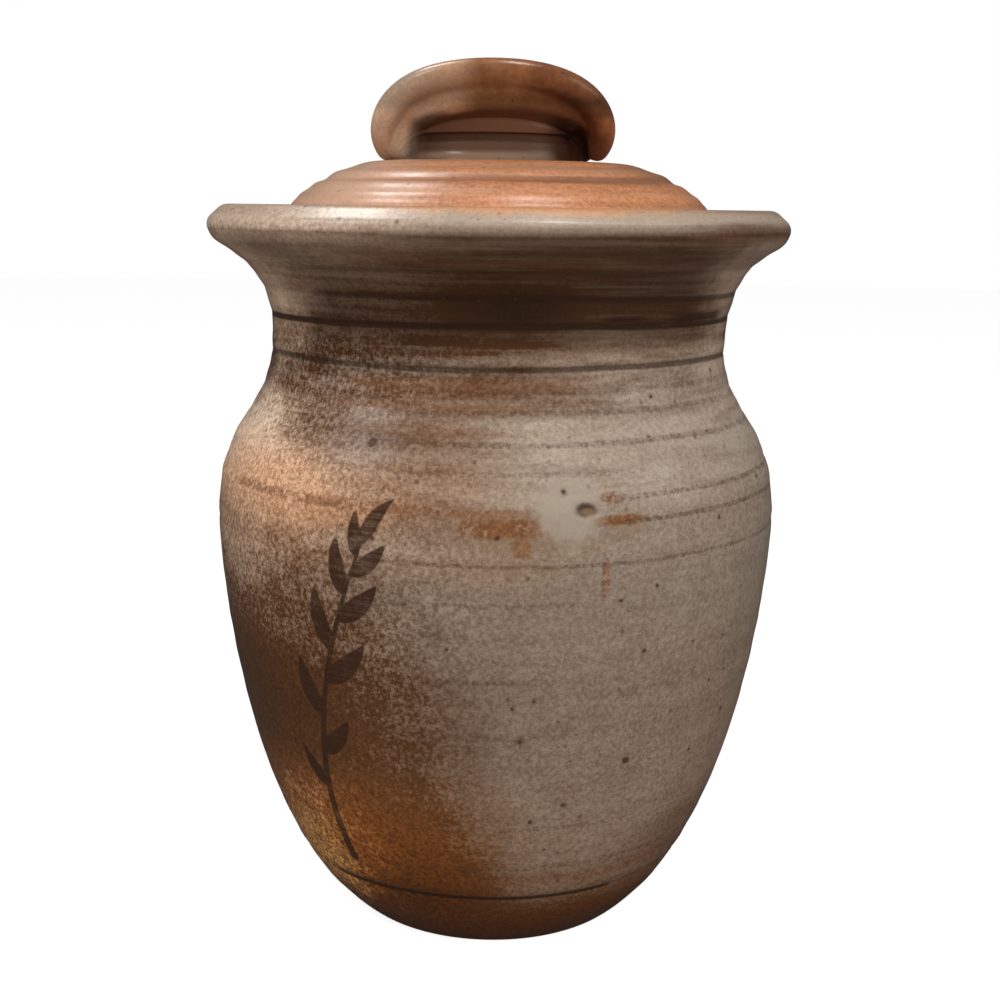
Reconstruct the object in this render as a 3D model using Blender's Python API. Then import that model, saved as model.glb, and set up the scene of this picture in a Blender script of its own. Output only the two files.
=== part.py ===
"""A lidded stoneware kitchen canister.

A thrown jar with a pinched neck and a flared rim, bevelled on its outside; a domed lid that sits on
a ledge inside the rim and is centred by a ring below it; and a short knob whose brim was bent into a
saddle while soft. Metres, +Z up, the middle of the foot at the origin.
"""

import math

import bmesh
import bpy
from mathutils import Vector
from mathutils.geometry import interpolate_bezier

MM = 0.001

# Steps of each turned piece, and points along each stretch of a profile
TURN_STEPS = 48
KNOB_STEPS = 64
CURVE_POINTS = 10
ROUND_STEP = math.radians(45.0)
BRIM_POINTS = 6

# Jar, outside: foot, belly, neck and rim, each joined to the next by one smooth curve
FOOT_RADIUS = 40.5 * MM
FOOT_RISE = math.radians(37.0)
FOOT_SWEEP = 44.5 * MM
BELLY_RADIUS = 81.3 * MM
BELLY_HEIGHT = 118.0 * MM
BELLY_SWEEP_BELOW = 10.5 * MM
BELLY_SWEEP_ABOVE = 32.0 * MM
NECK_RADIUS = 65.4 * MM
NECK_HEIGHT = 170.5 * MM
NECK_SWEEP_BELOW = 23.0 * MM
NECK_SWEEP_ABOVE = 21.0 * MM
RIM_RADIUS = 82.8 * MM
RIM_HEIGHT = 207.0 * MM
RIM_SWEEP = 3.5 * MM

# Jar, rim: a round underside up to a blunt outer edge, then a bevel up to a narrow level top
RIM_EDGE_DROP = 5.6 * MM
RIM_UNDER_ROUND = 5.5 * MM
RIM_UNDER_START = math.radians(-50.0)
RIM_EDGE_ROUND = 2.8 * MM
RIM_BEVEL = math.radians(48.0)
RIM_BEVEL_WIDTH = 5.7 * MM
RIM_TOP_ROUND = 2.0 * MM
RIM_WIDTH = 9.4 * MM

# Jar, inside: an even wall up to the neck, then a ledge for the lid inside the rim
WALL = 6.0 * MM
FLOOR = 8.0 * MM
FLOOR_CORNER = 8.0 * MM
LEDGE_DEPTH = 9.0 * MM
LEDGE_WIDTH = 8.0 * MM
RIM_WALL = 12.5 * MM

# Lid: a flange on the ledge, a dome with a level top, and a ring that hangs into the mouth
SEAT_GAP = 0.3 * MM
FLANGE_CLEARANCE = 1.5 * MM
FLANGE_THICKNESS = 4.5 * MM
FLANGE_WIDTH = 8.3 * MM
DOME_RISE = 16.5 * MM
DOME_TOP_RADIUS = 35.5 * MM
DOME_SWEEP_SIDE = 8.5 * MM
DOME_SWEEP_TOP = 6.0 * MM
LID_WALL = 5.5 * MM
RING_CLEARANCE = 1.0 * MM
RING_THICKNESS = 5.0 * MM
RING_DEPTH = 10.0 * MM

# Knob: a stem and a flat brim, bent up at the front and back and folded down at the sides
KNOB_GAP = 0.3 * MM
KNOB_OFF_CENTRE = 1.6 * MM
STEM_RADIUS = 22.3 * MM
STEM_FOOT_SPREAD = 3.5 * MM
STEM_FOOT_HEIGHT = 4.5 * MM
BRIM_HEIGHT = 15.1 * MM
BRIM_THICKNESS = 6.0 * MM
BRIM_ROOT_THICKNESS = 8.5 * MM
BRIM_LIP_ROUND = 3.7 * MM
BRIM_DISH = 1.5 * MM
BEND_START_RADIUS = 15.2 * MM
FRONT_REACH = 15.0 * MM
LEFT_REACH = 20.0 * MM
RIGHT_REACH = 18.8 * MM
BEND_UP = math.radians(64.0)
BEND_DOWN = math.radians(76.0)
BEND_SPREAD = 0.33
LEFT_FOLD = math.radians(92.0)
RIGHT_FOLD = math.radians(102.0)
FOLD_HALF = math.radians(32.0)
FOLD_EDGE = math.radians(24.0)


def line_points(start, end, count):
    """Evenly spaced points from start towards end, without end itself."""
    return [start.lerp(end, step / count) for step in range(count)]


def curve_points(start, start_handle, end_handle, end):
    """Points along one smooth stretch of a profile, without its end."""
    return interpolate_bezier(start, start_handle, end_handle, end, CURVE_POINTS)[:-1]


def arc_points(centre, radius, start_angle, end_angle):
    """Points round an arc, both ends included."""
    count = max(2, round((end_angle - start_angle) / ROUND_STEP))
    angles = [start_angle + (end_angle - start_angle) * i / count for i in range(count + 1)]
    return [centre + radius * Vector((math.cos(a), math.sin(a))) for a in angles]


def offset_left(points, distance):
    """The inner points of a profile, moved square to it towards its left as it climbs."""
    moved = []
    for before, point, after in zip(points, points[1:], points[2:]):
        along = (after - before).normalized()
        moved.append(point + distance * Vector((-along.y, along.x)))
    return moved


def rim_underside():
    """The round underside of the rim, up to its outermost edge."""
    centre = Vector((RIM_RADIUS - RIM_UNDER_ROUND, RIM_HEIGHT - RIM_EDGE_DROP))
    return arc_points(centre, RIM_UNDER_ROUND, RIM_UNDER_START, 0)


def rim_top():
    """From the rim's outermost edge up its bevel, over its level top and round to its inner side."""
    edge_centre = Vector((RIM_RADIUS - RIM_EDGE_ROUND, RIM_HEIGHT - RIM_EDGE_DROP))
    outer_centre = Vector((RIM_RADIUS - RIM_BEVEL_WIDTH, RIM_HEIGHT - RIM_TOP_ROUND))
    inner_centre = Vector((RIM_RADIUS - RIM_WIDTH + RIM_TOP_ROUND, RIM_HEIGHT - RIM_TOP_ROUND))
    return (
        arc_points(edge_centre, RIM_EDGE_ROUND, 0, RIM_BEVEL)[1:]
        + arc_points(outer_centre, RIM_TOP_ROUND, RIM_BEVEL, math.pi / 2)
        + arc_points(inner_centre, RIM_TOP_ROUND, math.pi / 2, math.pi)
    )


def ledge_corner():
    """Where the ledge meets the inside of the rim."""
    return Vector((RIM_RADIUS - RIM_WALL, RIM_HEIGHT - LEDGE_DEPTH))


def mouth_corner():
    """Where the ledge drops into the mouth."""
    return ledge_corner() - Vector((LEDGE_WIDTH, 0))


def throat_corner():
    """Where the sloping mouth meets the inside of the neck."""
    return Vector((NECK_RADIUS - WALL, NECK_HEIGHT))


def narrowest_mouth():
    """Radius of the mouth where it is narrowest, along the depth that the lid's ring reaches."""
    top = mouth_corner()
    below = (RING_DEPTH - SEAT_GAP) / (top.y - throat_corner().y)
    return min(top.x, top.lerp(throat_corner(), below).x)


def flange_radius():
    return ledge_corner().x - FLANGE_CLEARANCE


def jar_outside():
    """The jar's outer profile from the edge of its foot to the underside of its rim."""
    up = Vector((0, 1))
    rising = Vector((math.cos(FOOT_RISE), math.sin(FOOT_RISE)))
    into_rim = Vector((-math.sin(RIM_UNDER_START), math.cos(RIM_UNDER_START)))
    foot = Vector((FOOT_RADIUS, 0))
    belly = Vector((BELLY_RADIUS, BELLY_HEIGHT))
    neck = Vector((NECK_RADIUS, NECK_HEIGHT))
    rim = rim_underside()[0]
    lower = (foot, foot + FOOT_SWEEP * rising, belly - BELLY_SWEEP_BELOW * up, belly)
    upper = (belly, belly + BELLY_SWEEP_ABOVE * up, neck - NECK_SWEEP_BELOW * up, neck)
    flare = (neck, neck + NECK_SWEEP_ABOVE * up, rim - RIM_SWEEP * into_rim, rim)
    return curve_points(*lower) + curve_points(*upper) + curve_points(*flare)


def jar_profile():
    """Out along the foot, up the outside, over the rim and down the inside to the floor."""
    outside = jar_outside()
    wall_top = NECK_HEIGHT - WALL
    wall_foot = FLOOR + FLOOR_CORNER / 2
    inside = [p for p in offset_left(outside, WALL) if wall_foot < p.y < wall_top]
    floor_edge = Vector((inside[0].x - FLOOR_CORNER, FLOOR))
    return (
        [Vector((0, 0))]
        + outside
        + rim_underside()
        + rim_top()
        + [ledge_corner(), mouth_corner(), throat_corner()]
        + inside[::-1]
        + [floor_edge, Vector((0, FLOOR))]
    )


def dome_height():
    """Height of the lid's level top above its seat."""
    return FLANGE_THICKNESS + DOME_RISE


def dome_outside():
    """The dome's outer profile from its foot on the flange to the edge of its level top."""
    foot = Vector((flange_radius() - FLANGE_WIDTH, FLANGE_THICKNESS))
    edge = Vector((DOME_TOP_RADIUS, dome_height()))
    foot_handle = foot + Vector((0, DOME_SWEEP_SIDE))
    edge_handle = edge + Vector((DOME_SWEEP_TOP, 0))
    return curve_points(foot, foot_handle, edge_handle, edge) + [edge]


def lid_profile():
    """From the middle of the hollow down inside the ring, round the flange and up the dome."""
    ring_radius = narrowest_mouth() - RING_CLEARANCE
    flange_round = FLANGE_THICKNESS / 2
    flange_centre = Vector((flange_radius() - flange_round, flange_round))
    flange_edge = arc_points(flange_centre, flange_round, -math.pi / 2, math.pi / 2)
    dome = dome_outside()
    return (
        [Vector((0, dome_height() - LID_WALL))]
        + offset_left(dome, LID_WALL)[::-1]
        + [
            Vector((ring_radius - RING_THICKNESS, -RING_DEPTH)),
            Vector((ring_radius, -RING_DEPTH)),
            Vector((ring_radius, 0)),
        ]
        + flange_edge
        + dome
        + [Vector((0, dome_height()))]
    )


def lip_points():
    """The round lip of the brim as it is thrown, from below to above."""
    centre = Vector((BEND_START_RADIUS + FRONT_REACH, BRIM_HEIGHT))
    return arc_points(centre, BRIM_LIP_ROUND, -math.pi / 2, math.pi / 2)


def knob_underside():
    """From the edge of the knob's joint up its stem and out under its brim, halfway round the lip."""
    root = BRIM_HEIGHT + BRIM_THICKNESS / 2 - BRIM_ROOT_THICKNESS
    foot = Vector((STEM_RADIUS + STEM_FOOT_SPREAD, 0))
    foot_curve = Vector((STEM_RADIUS + STEM_FOOT_SPREAD / 4, STEM_FOOT_HEIGHT / 3))
    stem_start = Vector((STEM_RADIUS, STEM_FOOT_HEIGHT))
    stem_end = Vector((STEM_RADIUS, root))
    brim_edge = BEND_START_RADIUS + FRONT_REACH - BRIM_LIP_ROUND
    underside = Vector((brim_edge, BRIM_HEIGHT - BRIM_THICKNESS / 2))
    below = line_points(stem_end, underside, BRIM_POINTS // 2)
    lip = lip_points()
    return [foot, foot_curve, stem_start] + below + [underside] + lip[: len(lip) // 2]


def knob_profile():
    """The knob as it is thrown: foot, stem, and a flat brim with a thick round lip."""
    top = BRIM_HEIGHT + BRIM_THICKNESS / 2
    brim_edge = BEND_START_RADIUS + FRONT_REACH - BRIM_LIP_ROUND
    bend_start = Vector((BEND_START_RADIUS, top))
    lip = lip_points()
    above = line_points(Vector((brim_edge, top)), bend_start, BRIM_POINTS)
    middle = [bend_start, Vector((0, top - BRIM_DISH))]
    return [Vector((0, 0))] + knob_underside() + lip[len(lip) // 2 :] + above + middle


def turned(profile, steps):
    """A closed body made by turning a profile once round the Z axis."""
    turned_mesh = bmesh.new()
    ring = turned_mesh.verts.layers.int.new("ring")
    verts = [turned_mesh.verts.new((point.x, 0, point.y)) for point in profile]
    for number, vert in enumerate(verts):
        vert[ring] = number
    edges = [turned_mesh.edges.new(pair) for pair in zip(verts, verts[1:])]
    bmesh.ops.spin(
        turned_mesh,
        geom=verts + edges,
        axis=(0, 0, 1),
        cent=(0, 0, 0),
        angle=math.tau,
        steps=steps,
        use_merge=True,
    )
    bmesh.ops.remove_doubles(turned_mesh, verts=turned_mesh.verts, dist=MM / 1000)
    bmesh.ops.recalc_face_normals(turned_mesh, faces=turned_mesh.faces)
    return turned_mesh


def curl_share(turn):
    """How much of the brim's curl is upwards, at a turn round the knob from its front."""
    front = math.cos(turn) ** 2
    return front / (front + BEND_SPREAD * (1 - front))


def brim_reach(turn):
    """Length of the brim from where its bend starts to the middle of its lip."""
    right = (1 + math.sin(turn)) / 2
    side_reach = RIGHT_REACH * right + LEFT_REACH * (1 - right)
    share = curl_share(turn)
    return FRONT_REACH * share + side_reach * (1 - share)


def fold_share(turn):
    """How far the brim is pressed on to the stem, at a turn round the knob from its front."""
    middle = RIGHT_FOLD if turn > 0 else LEFT_FOLD
    place = (FOLD_HALF - abs(abs(turn) - middle)) / FOLD_EDGE
    place = min(max(place, 0), 1)
    return place * place * (3 - 2 * place)


def bent(point, turn):
    """Where a point of the thrown profile comes to lie once the brim is bent."""
    brim_bottom = BRIM_HEIGHT + BRIM_THICKNESS / 2 - BRIM_ROOT_THICKNESS
    flat = point.x - BEND_START_RADIUS
    above = point.y - BRIM_HEIGHT
    if flat <= 0 or point.y < brim_bottom:
        return point
    share = curl_share(turn)
    reach = brim_reach(turn)
    along = min(flat, FRONT_REACH) * reach / FRONT_REACH + max(flat - FRONT_REACH, 0)
    angle = (BEND_UP * share - BEND_DOWN * (1 - share)) * along / reach
    middle = BEND_START_RADIUS + along * math.sin(angle) / angle
    rise = along * (1 - math.cos(angle)) / angle
    return Vector(
        (middle - above * math.sin(angle), BRIM_HEIGHT + rise + above * math.cos(angle))
    )


def bend_brim(knob_mesh):
    """Curls the brim up at the front and back, and folds it down on to the stem at the sides."""
    ring = knob_mesh.verts.layers.int["ring"]
    profile = knob_profile()
    underside = knob_underside()
    for vert in knob_mesh.verts:
        number = vert[ring]
        outward = Vector((vert.co.x, vert.co.y))
        if outward.length == 0:
            continue
        turn = math.atan2(outward.x, -outward.y)
        place = bent(profile[number], turn)
        if 1 <= number <= len(underside):
            across = (number - 1) / (len(underside) - 1)
            shut = underside[0].lerp(bent(underside[-1], turn), across)
            place = place.lerp(shut, fold_share(turn))
        outward *= place.x / outward.length
        vert.co = (outward.x, outward.y, place.y)


def clay_material(name, colour, roughness):
    material = bpy.data.materials.new(name)
    material.use_nodes = True
    shader = material.node_tree.nodes["Principled BSDF"]
    shader.inputs["Base Color"].default_value = (*colour, 1)
    shader.inputs["Roughness"].default_value = roughness
    shader.inputs["Metallic"].default_value = 0
    material.diffuse_color = (*colour, 1)
    return material


def add_piece(name, piece_mesh, material):
    mesh = bpy.data.meshes.new(name)
    piece_mesh.to_mesh(mesh)
    piece_mesh.free()
    mesh.shade_smooth()
    mesh.set_sharp_from_angle(angle=math.radians(40))
    mesh.materials.append(material)
    piece = bpy.data.objects.new(name, mesh)
    bpy.context.scene.collection.objects.link(piece)
    return piece


def build_jar():
    glaze = clay_material("jar_glaze", (0.33, 0.27, 0.22), 0.35)
    return add_piece("jar_body", turned(jar_profile(), TURN_STEPS), glaze)


def build_lid():
    """The lid, whose origin is on the line it is lifted along, at the height of its seat."""
    glaze = clay_material("lid_glaze", (0.30, 0.19, 0.11), 0.35)
    lid = add_piece("lid", turned(lid_profile(), TURN_STEPS), glaze)
    lid.location = (0, 0, ledge_corner().y + SEAT_GAP)
    return lid


def build_knob(lid):
    """The knob, which stands on the lid's level top a little left of its middle."""
    knob_mesh = turned(knob_profile(), KNOB_STEPS)
    bend_brim(knob_mesh)
    glaze = clay_material("knob_glaze", (0.25, 0.15, 0.09), 0.35)
    knob = add_piece("lid_knob", knob_mesh, glaze)
    knob.parent = lid
    knob.location = (-KNOB_OFF_CENTRE, 0, dome_height() + KNOB_GAP)
    return knob


def main():
    for old in list(bpy.data.objects):
        bpy.data.objects.remove(old)
    build_jar()
    lid = build_lid()
    build_knob(lid)
    bpy.context.view_layer.update()


main()
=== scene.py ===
"""Looks of a lidded stoneware kitchen canister: its thrown clay, its glazes, floor, lamps and camera.

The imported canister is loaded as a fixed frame, and each of its three pieces is turned again in fine
detail over it, in metres, with +Z up and the middle of the foot at the origin.
"""

import math

import bmesh
import bpy
import numpy as np
from bpy.props import FloatProperty, FloatVectorProperty, PointerProperty
from mathutils import Matrix, Vector, noise
from mathutils.geometry import interpolate_bezier


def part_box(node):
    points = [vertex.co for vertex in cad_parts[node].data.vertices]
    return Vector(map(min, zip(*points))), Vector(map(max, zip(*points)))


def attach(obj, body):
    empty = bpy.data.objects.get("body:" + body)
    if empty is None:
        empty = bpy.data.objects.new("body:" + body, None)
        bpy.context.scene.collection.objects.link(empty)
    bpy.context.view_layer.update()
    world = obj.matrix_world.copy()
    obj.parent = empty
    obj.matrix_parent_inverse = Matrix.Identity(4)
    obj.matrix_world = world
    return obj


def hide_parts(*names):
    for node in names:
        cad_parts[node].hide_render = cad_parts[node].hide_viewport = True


bl_info = {
    "name": "Stoneware Kitchen Canister",
    "version": (1, 0, 0),
    "blender": (4, 5, 0),
    "location": "View3D > Sidebar > Canister",
    "description": "Builds a glazed, lidded stoneware canister and a plain stage for it",
    "category": "Add Mesh",
}

MM = 0.001
TO_MM = 1000.0
TO_DEGREES = math.degrees(1.0)
WEDGE_STEPS = 12  # a body is put together from wedges of up to this many steps

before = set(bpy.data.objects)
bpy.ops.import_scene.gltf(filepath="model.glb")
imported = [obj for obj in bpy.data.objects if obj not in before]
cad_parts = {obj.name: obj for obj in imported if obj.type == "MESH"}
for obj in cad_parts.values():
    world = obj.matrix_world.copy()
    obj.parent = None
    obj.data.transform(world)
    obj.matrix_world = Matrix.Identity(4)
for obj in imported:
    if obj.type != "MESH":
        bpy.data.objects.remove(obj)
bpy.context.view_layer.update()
JAR_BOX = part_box("jar_body")
LID_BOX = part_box("lid")
KNOB_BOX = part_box("lid_knob")


def setting(name, description, default, **settings):
    """A number that is shown in the panel."""
    return FloatProperty(name=name, description=description, default=default, **settings)


def length(name, description, default):
    """A length in metres."""
    return setting(name, description, default, min=0.0, unit="LENGTH", precision=5)


def angle(name, description, degrees):
    return setting(name, description, math.radians(degrees), unit="ROTATION")


def power(name, description, default):
    return setting(name, description, default, min=0.0, unit="POWER")


def share(name, description, default):
    return setting(name, description, default, min=0.0, max=1.0, subtype="FACTOR")


def colour(name, description, default):
    return FloatVectorProperty(
        name=name, description=description, default=default, size=3, min=0.0, max=1.0, subtype="COLOR"
    )


class JarSizes(bpy.types.PropertyGroup):
    foot_radius: length("Foot radius", "Radius of the flat foot", 40.5 * MM)
    foot_rise: angle("Foot rise", "Slope of the wall where it leaves the foot", 37.0)
    foot_sweep: length("Foot sweep", "How far the wall keeps the foot's slope", 44.5 * MM)
    foot_edge: length("Foot edge", "Rounding of the edge of the foot", 1.2 * MM)
    belly_radius: length("Belly radius", "Widest radius of the body", 81.3 * MM)
    belly_height: length("Belly height", "Height of the widest place", 118.0 * MM)
    belly_sweep_below: length("Sweep below belly", "Fullness below the belly", 10.5 * MM)
    belly_sweep_above: length("Sweep above belly", "Fullness of the shoulder", 32.0 * MM)
    neck_radius: length("Neck radius", "Radius of the pinched neck", 65.4 * MM)
    neck_height: length("Neck height", "Height of the narrowest place", 170.5 * MM)
    neck_sweep_below: length("Sweep below neck", "Hollow below the neck", 23.0 * MM)
    neck_sweep_above: length("Sweep above neck", "Hollow of the flare", 21.0 * MM)
    rim_radius: length("Rim radius", "Outer radius of the rim", JAR_BOX[1].x)
    rim_height: length("Rim height", "Height of the top of the rim", JAR_BOX[1].z)
    rim_sweep: length("Rim sweep", "Hollow right under the rim", 3.5 * MM)
    rim_edge_drop: length("Rim edge drop", "Depth of the rim's outermost edge below its top", 5.6 * MM)
    rim_under_round: length("Under rim round", "Radius of the rim's underside", 5.5 * MM)
    rim_edge_round: length("Rim edge round", "Radius of the rim's outermost edge", 3.6 * MM)
    rim_bevel_width: length("Rim bevel width", "Width of the bevel outside the rim's top", 6.0 * MM)
    rim_top_round: length("Rim top round", "Rounding of the outer edge of the rim's top", 4.0 * MM)
    rim_inner_round: length("Rim inner round", "Rounding of the inner edge of the rim's top", 2.0 * MM)
    rim_width: length("Rim width", "Width of the rim", 9.4 * MM)
    rim_wall: length("Rim wall", "Width of the rim outside the ledge", 12.5 * MM)
    ledge_depth: length("Ledge depth", "Depth of the lid's ledge below the rim", 9.0 * MM)
    ledge_width: length("Ledge width", "Width of the lid's ledge", 8.0 * MM)
    wall: length("Wall", "Thickness of the wall", 6.0 * MM)
    floor: length("Floor", "Thickness of the floor", 8.0 * MM)
    foot_hollow: length("Foot hollow", "Depth of the trimmed hollow under the foot", 0.9 * MM)


class LidSizes(bpy.types.PropertyGroup):
    seat: length("Seat", "Height of the underside of the flange", 198.3 * MM)
    flange_radius: length("Flange radius", "Outer radius of the flange", LID_BOX[1].x)
    flange_thickness: length("Flange thickness", "Thickness of the flange", 4.5 * MM)
    flange_width: length("Flange width", "Width of the flange outside the dome", 8.3 * MM)
    top: length("Top", "Height of the dome's level top", LID_BOX[1].z)
    top_radius: length("Top radius", "Radius of the dome's level top", 35.5 * MM)
    sweep_side: length("Side sweep", "Fullness of the side of the dome", 8.5 * MM)
    sweep_top: length("Top sweep", "Fullness of the top edge of the dome", 6.0 * MM)
    wall: length("Wall", "Thickness of the dome", 5.5 * MM)
    ring_radius: length("Ring radius", "Outer radius of the centring ring", 60.2 * MM)
    ring_thickness: length("Ring thickness", "Thickness of the centring ring", 5.0 * MM)
    ring_low: length("Ring low", "Height of the foot of the centring ring", LID_BOX[0].z)


class KnobSizes(bpy.types.PropertyGroup):
    base: length("Base", "Height at which the knob stands on the lid", KNOB_BOX[0].z)
    off_centre: length("Off centre", "How far the knob stands left of the middle", 1.6 * MM)
    stem_radius: length("Stem radius", "Radius of the stem", 22.3 * MM)
    foot_spread: length("Foot spread", "How far the joint spreads over the lid", 3.5 * MM)
    root_height: length("Root height", "Height of the groove under the brim", 8.4 * MM)
    brim_height: length("Brim height", "Height of the middle of the flat brim", 15.1 * MM)
    brim_thickness: length("Brim thickness", "Thickness of the brim", 6.0 * MM)
    lip_round: length("Lip round", "Radius of the brim's lip", 3.7 * MM)
    dish: length("Dish", "Depth of the dish in the top", 1.5 * MM)
    bend_start: length("Bend start", "Radius at which the brim starts to bend", 15.2 * MM)
    front_reach: length("Front reach", "Length of the bent brim at the front and back", 15.0 * MM)
    left_reach: length("Left reach", "Length of the bent brim at the left", 20.0 * MM)
    right_reach: length("Right reach", "Length of the bent brim at the right", 18.8 * MM)
    bend_up: angle("Bend up", "Bend of the lip at the front and back", 64.0)
    bend_down: angle("Bend down", "Bend of the lip at the sides", 76.0)
    bend_spread: share("Bend spread", "How quickly the bend turns over", 0.33)
    left_fold: angle("Left fold", "Turn at which the left side is pressed on to the stem", 92.0)
    right_fold: angle("Right fold", "Turn at which the right side is pressed on to the stem", 108.0)
    fold_half: angle("Fold half", "Half the turn that each pressed side takes up", 32.0)
    fold_edge: angle("Fold edge", "Turn over which a pressed side comes free", 24.0)


class GlazeColours(bpy.types.PropertyGroup):
    pale: colour("Pale glaze", "Grey-beige glaze where it lies thick", (0.43, 0.35, 0.275))
    brown: colour("Brown glaze", "Glaze that iron has turned brown", (0.085, 0.032, 0.010))
    ochre: colour("Ochre glaze", "Glaze that the flame has turned orange", (0.62, 0.26, 0.09))
    rust: colour("Rust", "Iron that breaks through on ridges", (0.228, 0.096, 0.038))
    umber: colour("Umber", "Dark lines laid on with a loaded brush", (0.026, 0.010, 0.005))
    groove: colour("Grooves", "Iron specks that gathered in the throwing rings", (0.085, 0.045, 0.026))
    spot: colour("Iron spot", "Specks of iron that melted in the clay", (0.060, 0.028, 0.014))
    brush: colour("Brushwork", "Iron slip of the painted sprig", (0.045, 0.019, 0.010))
    clay: colour("Bare clay", "Fired clay with no glaze", (0.24, 0.15, 0.09))


class StageSettings(bpy.types.PropertyGroup):
    camera_place: FloatVectorProperty(
        name="Camera place",
        description="Where the camera stands",
        default=(0.0, -0.4379, 0.2068),
        size=3,
        subtype="TRANSLATION",
        unit="LENGTH",
    )
    camera_pitch: angle("Camera pitch", "How far the camera looks down", 11.06)
    camera_yaw: angle("Camera yaw", "How far the camera looks right", 0.18)
    camera_roll: angle("Camera roll", "How far the camera leans", 0.78)
    camera_lens: setting("Lens", "Focal length in millimetres", 53.79, min=1.0, unit="CAMERA")
    key_power: power("Key", "Power of the large front lamp", 11.6)
    gloss_power: power("Gloss", "Power of each lamp that makes highlights", 6.6)
    side_power: power("Side", "Power of the lamp at the left", 4.4)
    fill_power: power("Fill", "Power of the lamp at the right", 2.0)
    room_light: setting("Room light", "Strength of the even light all round", 0.3, min=0.0)


# Turned profiles: points are (radius, height), and a profile climbs with the clay on its left


def at(radius, height):
    """A place on a profile, or a step along it."""
    return Vector((radius, height))


def polar(centre, radius, degrees):
    turn = math.radians(degrees)
    return centre + radius * at(math.cos(turn), math.sin(turn))


def arc(centre, radius, start, end, step=6.0):
    """Points round an arc, both ends included. Angles are in degrees."""
    count = max(2, round(abs(end - start) / step))
    return [polar(centre, radius, start + (end - start) * i / count) for i in range(count + 1)]


def sweep(start, start_handle, end_handle, end, spacing):
    """Points along one smooth stretch, without its end."""
    count = max(3, round((end - start).length / spacing))
    return interpolate_bezier(start, start_handle, end_handle, end, count + 1)[:-1]


def run(start, end, spacing):
    """Points along a straight stretch, without its end."""
    count = max(1, round((end - start).length / spacing))
    return [start.lerp(end, i / count) for i in range(count)]


def outward(points):
    """The direction square to a profile at each of its points, away from the clay."""
    ends = [points[0]] + list(points) + [points[-1]]
    along = [(after - before).normalized() for before, after in zip(ends, ends[2:])]
    return [at(step.y, -step.x) for step in along]


def raised(points, relief):
    """A profile with each point moved square to it by the relief at its height."""
    return [point + side * relief(point) for point, side in zip(points, outward(points))]


def softened(points, first, last):
    """A profile whose points from the first to the last are drawn towards their neighbours."""
    for _ in range(12):
        before, after = points[:1] + points, points[1:] + points[-1:]
        points = [
            (a + 2 * b + c) / 4 if first <= number <= last else b
            for number, (a, b, c) in enumerate(zip(before, points, after))
        ]
    return points


def bump(place, centre, width):
    """A smooth hump, 1 at its centre, as wide as width on either side."""
    return math.exp(-(((place - centre) / width) ** 2))


def add_wedge(body, profile, start, reach, steps):
    """Adds the wedge that a profile sweeps from one angle on, its points numbered along the profile."""
    wedge = bmesh.new()
    ring = wedge.verts.layers.int.new("ring")
    across, back = math.sin(start), -math.cos(start)
    verts = [wedge.verts.new((point.x * across, point.x * back, point.y)) for point in profile]
    for number, vert in enumerate(verts):
        vert[ring] = number
    edges = [wedge.edges.new(pair) for pair in zip(verts, verts[1:])]
    bmesh.ops.spin(
        wedge, geom=verts + edges, axis=(0, 0, 1), cent=(0, 0, 0), angle=reach, steps=steps
    )
    mesh = bpy.data.meshes.new("wedge")
    wedge.to_mesh(mesh)
    wedge.free()
    body.from_mesh(mesh)
    bpy.data.meshes.remove(mesh)


def turned(profile, sectors):
    """A closed body made by turning a profile round the Z axis, through (angle, steps) sectors."""
    body = bmesh.new()
    for (start, steps), (end, _) in zip(sectors, sectors[1:]):
        step = (end - start) / steps
        for first in range(0, steps, WEDGE_STEPS):
            count = min(WEDGE_STEPS, steps - first)
            add_wedge(body, profile, start + first * step, count * step, count)
    bmesh.ops.remove_doubles(body, verts=body.verts, dist=0.003 * MM)
    bmesh.ops.recalc_face_normals(body, faces=body.faces)
    return body


def whole_turn(steps):
    """Sectors of a body that is turned in even steps."""
    return [(0.0, steps), (math.tau, 0)]


def turn_of(place):
    """Angle round the canister from its front, growing to the right."""
    return math.atan2(place.x, -place.y)


def add_piece(name, body, node, on_body, material):
    """Makes the finished mesh, which stands for a CAD node and moves with its body."""
    mesh = bpy.data.meshes.new(name)
    body.to_mesh(mesh)
    body.free()
    mesh.attributes.remove(mesh.attributes["ring"])
    mesh.shade_smooth()
    mesh.materials.append(material)
    piece = bpy.data.objects.new(name, mesh)
    bpy.context.scene.collection.objects.link(piece)
    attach(piece, on_body)
    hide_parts(node)
    return piece


def add_attribute(mesh, name, values):
    layer = mesh.attributes.new(name, "FLOAT", "POINT")
    layer.data.foreach_set("value", np.asarray(values, dtype=np.float32))


def vertex_places(mesh):
    places = np.zeros(len(mesh.vertices) * 3)
    mesh.vertices.foreach_get("co", places)
    return places.reshape(-1, 3)


# Jar: heights in millimetres, angles in degrees from the front, + to the right

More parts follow.
